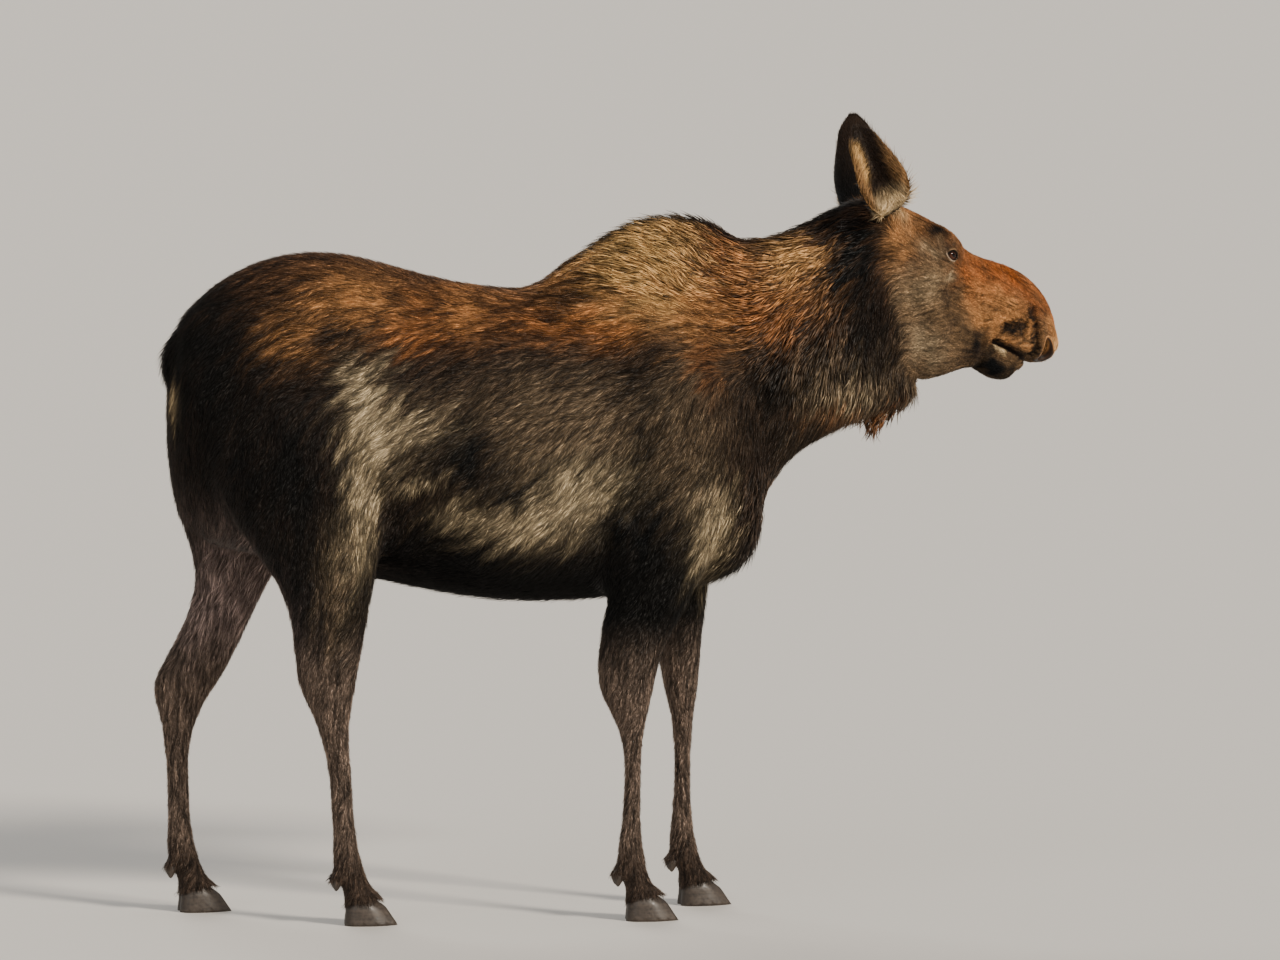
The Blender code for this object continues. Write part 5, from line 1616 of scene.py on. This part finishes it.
def lights():
    for name, (origin, strength, width, colour) in LIGHTS.items():
        lamp = bpy.data.lights.new(name, "SUN")
        lamp.energy, lamp.angle, lamp.color = strength, math.radians(width), colour
        aim(new_object(name, lamp), Vector(origin) * 6, -Vector(origin))
    world = bpy.data.worlds.new("studio")
    bpy.context.scene.world = world
    world.use_nodes = True
    background = world.node_tree.nodes["Background"]
    feed(world.node_tree, background, {"Color": SKY, "Strength": SKY_STRENGTH})


# ---------------- the animal
LID_HAIR, LASHES = (0.0055, 0.0007, 0.14), (0.012, 0.0008, 0.55)  # length, width, lift
LID_LAYERS, LASHES_TO_THE_METRE = 2.0, 9.0e5
LID_RIM, LID_FOLD, NOSTRIL_LINING = rgb(228, 202, 174), rgb(176, 142, 104), rgb(96, 66, 46)


def colour_skin(skin):
    """The coat's colours, darkened as painted shade under the hair, bare skin at the nostrils and the
    mouth, and painted shade deep in each nostril.
    """
    points, normals = points_of(skin.data), normals_of(skin.data)
    places = head_places(points)
    nostril = nostril_share(places)
    mouth = near_head_path(places, MOUTH, 0.013)
    bare = np.clip(np.maximum(1.6 * mouth, ramp(nostril, 1.55, 1.25)), 0, 1)
    colours = coat_colours_and_painted_light(points, lie(points, normals))
    # Painted shade: the skin under the hair is darker than the coat, less so on the head.
    colours = mixed(colours * 0.40, colours * 0.55, head_share(points))
    colours = mixed(colours, NOSE_SKIN, bare)
    forward = places[:, 0] - NOSTRIL[0] - 0.8 * (places[:, 2] - NOSTRIL[2])
    rim = 0.8 * ramp(forward, 0.015, -0.010) * peak(nostril, 1.16, 0.07)
    colours = mixed(colours, TAN, rim)
    inside = ramp(nostril, 1.06, 0.94)
    colours = mixed(colours, NOSTRIL_LINING, inside)
    # Painted shade: the back of each nostril's pit is painted near black.
    colours = mixed(colours, 0.5 * NEARLY_BLACK, inside * ramp(forward, -0.028, -0.014))
    paint(skin.data, colours)
    store_bare(skin.data, bare * (1 - inside))


def lid_edge(points, side):
    """1 on the bare edge of the lids."""
    return ramp(opening_scale(points, side), 1.17, 1.09)


def lid_markings(points, normals, side):
    """The lids' colour: dark at the edge, a pale rim below it and a paler fold above."""
    scale = opening_scale(points, side)
    _, ahead, above = eye_axes(side)
    away, _ = away_from_eye(points, side)
    height, forward = away @ above, away @ ahead
    colours = coat_colours_and_painted_light(points, lie(points, normals))
    fold = ramp(height, 0.002, 0.009) * peak(scale, 1.40, 0.16)
    colours = mixed(colours, LID_FOLD, 0.85 * fold)
    rim = ramp(height - 0.3 * forward, 0.004, -0.004) * peak(scale, 1.32, 0.14)
    colours = mixed(colours, LID_RIM, 0.95 * rim)
    return mixed(colours, NEARLY_BLACK, lid_edge(points, side))


def lid_hair(lids, side):
    """Short hair on the lids, up to a bare edge."""
    def density(points, normals):
        away, distance = away_from_eye(points, side)
        outside = (away * normals).sum(1) > 0
        above_ball = distance > EYE_RADIUS + 0.0012
        full = LID_LAYERS / (STRAIGHT["fullness"] * LID_HAIR[0] * LID_HAIR[1])
        return full * ramp(opening_scale(points, side), 1.22, 1.38) * outside * above_ball

    roots = spread_roots(lids, density, 90 + side)
    ahead = lie(roots.points, roots.normals)
    colours = lid_markings(roots.points, roots.normals, side)
    return tufts(f"coat_lids_{SIDES[side]}", roots, ahead, *LID_HAIR, colours, SHORT, 92 + side)


def lashes(lids, side):
    """Dark lashes on the edge of the upper lid."""
    above = eye_axes(side)[2]

    def density(points, normals):
        away, _ = away_from_eye(points, side)
        scale = opening_scale(points, side)
        on_edge = (scale > 1.02) & (scale < 1.12) & (away @ above > 0.002)
        return LASHES_TO_THE_METRE * on_edge * ((away * normals).sum(1) > 0)

    roots = spread_roots(lids, density, 94 + side)
    ahead = along_surface(-above, roots.normals)
    return tufts(f"lashes_{SIDES[side]}", roots, ahead, *LASHES, BLACKISH, SHORT, 96 + side)


def finish(made, look, slot, *replaced):
    """Gives a piece its material, sets it under the root body and hides the solids that it stands for.
    slot is not used.
    """
    made.data.materials.clear()
    made.data.materials.append(look)
    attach(made, "root")
    if replaced:
        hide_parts(*replaced)


def build_eye(side, surface, hide, hair, wet):
    lids = eyelids(side, surface)
    unwrap(lids)
    finish(lid_hair(lids, side), hair, "coat_face")
    finish(lashes(lids, side), hair, "coat_face")
    points, normals = points_of(lids.data), normals_of(lids.data)
    # Painted shade: the lids' skin is darker than their hair.
    paint(lids.data, lid_markings(points, normals, side) * 0.75)
    store_bare(lids.data, 0.2 + 0.8 * lid_edge(points, side))
    finish(lids, hide, "coat_face")
    finish(eyeball(side), wet, "eye", f"eye_{SIDES[side]}")


def build_ear(side, hide, hair):
    ear = ear_skin(side)
    unwrap(ear)
    finish(ear_coat(ear, side), hair, "coat_dark")
    points, normals = points_of(ear.data), normals_of(ear.data)
    # Painted shade: the ear's skin is darker than its hair.
    paint(ear.data, ear_markings(points, normals, side) * 0.6)
    store_bare(ear.data, np.zeros(len(points)))
    ear.data.shade_smooth()
    finish(ear, hide, "coat_dark", f"ear_{SIDES[side]}")


def build_animal():
    hide, hair, wet, horn = skin_material(), hair_material(), eye_material(), horn_material()
    skin = base_skin()
    shape_skin(skin)
    surface = BVHTree.FromObject(skin, bpy.context.evaluated_depsgraph_get())
    unwrap(skin)
    for coat, slot in skin_coat(skin):
        finish(coat, hair, slot)
    for side in SIDES:
        build_eye(side, surface, hide, hair, wet)
        build_ear(side, hide, hair)
        sink_round_eye(skin.data, side)
    colour_skin(skin)
    skin.data.shade_smooth()
    finish(skin, hide, "coat_back", *FLESH)
    for name in CLAWS:
        finish(hoof(name), horn, "horn", name)


build_animal()
floor()
lights()
camera()
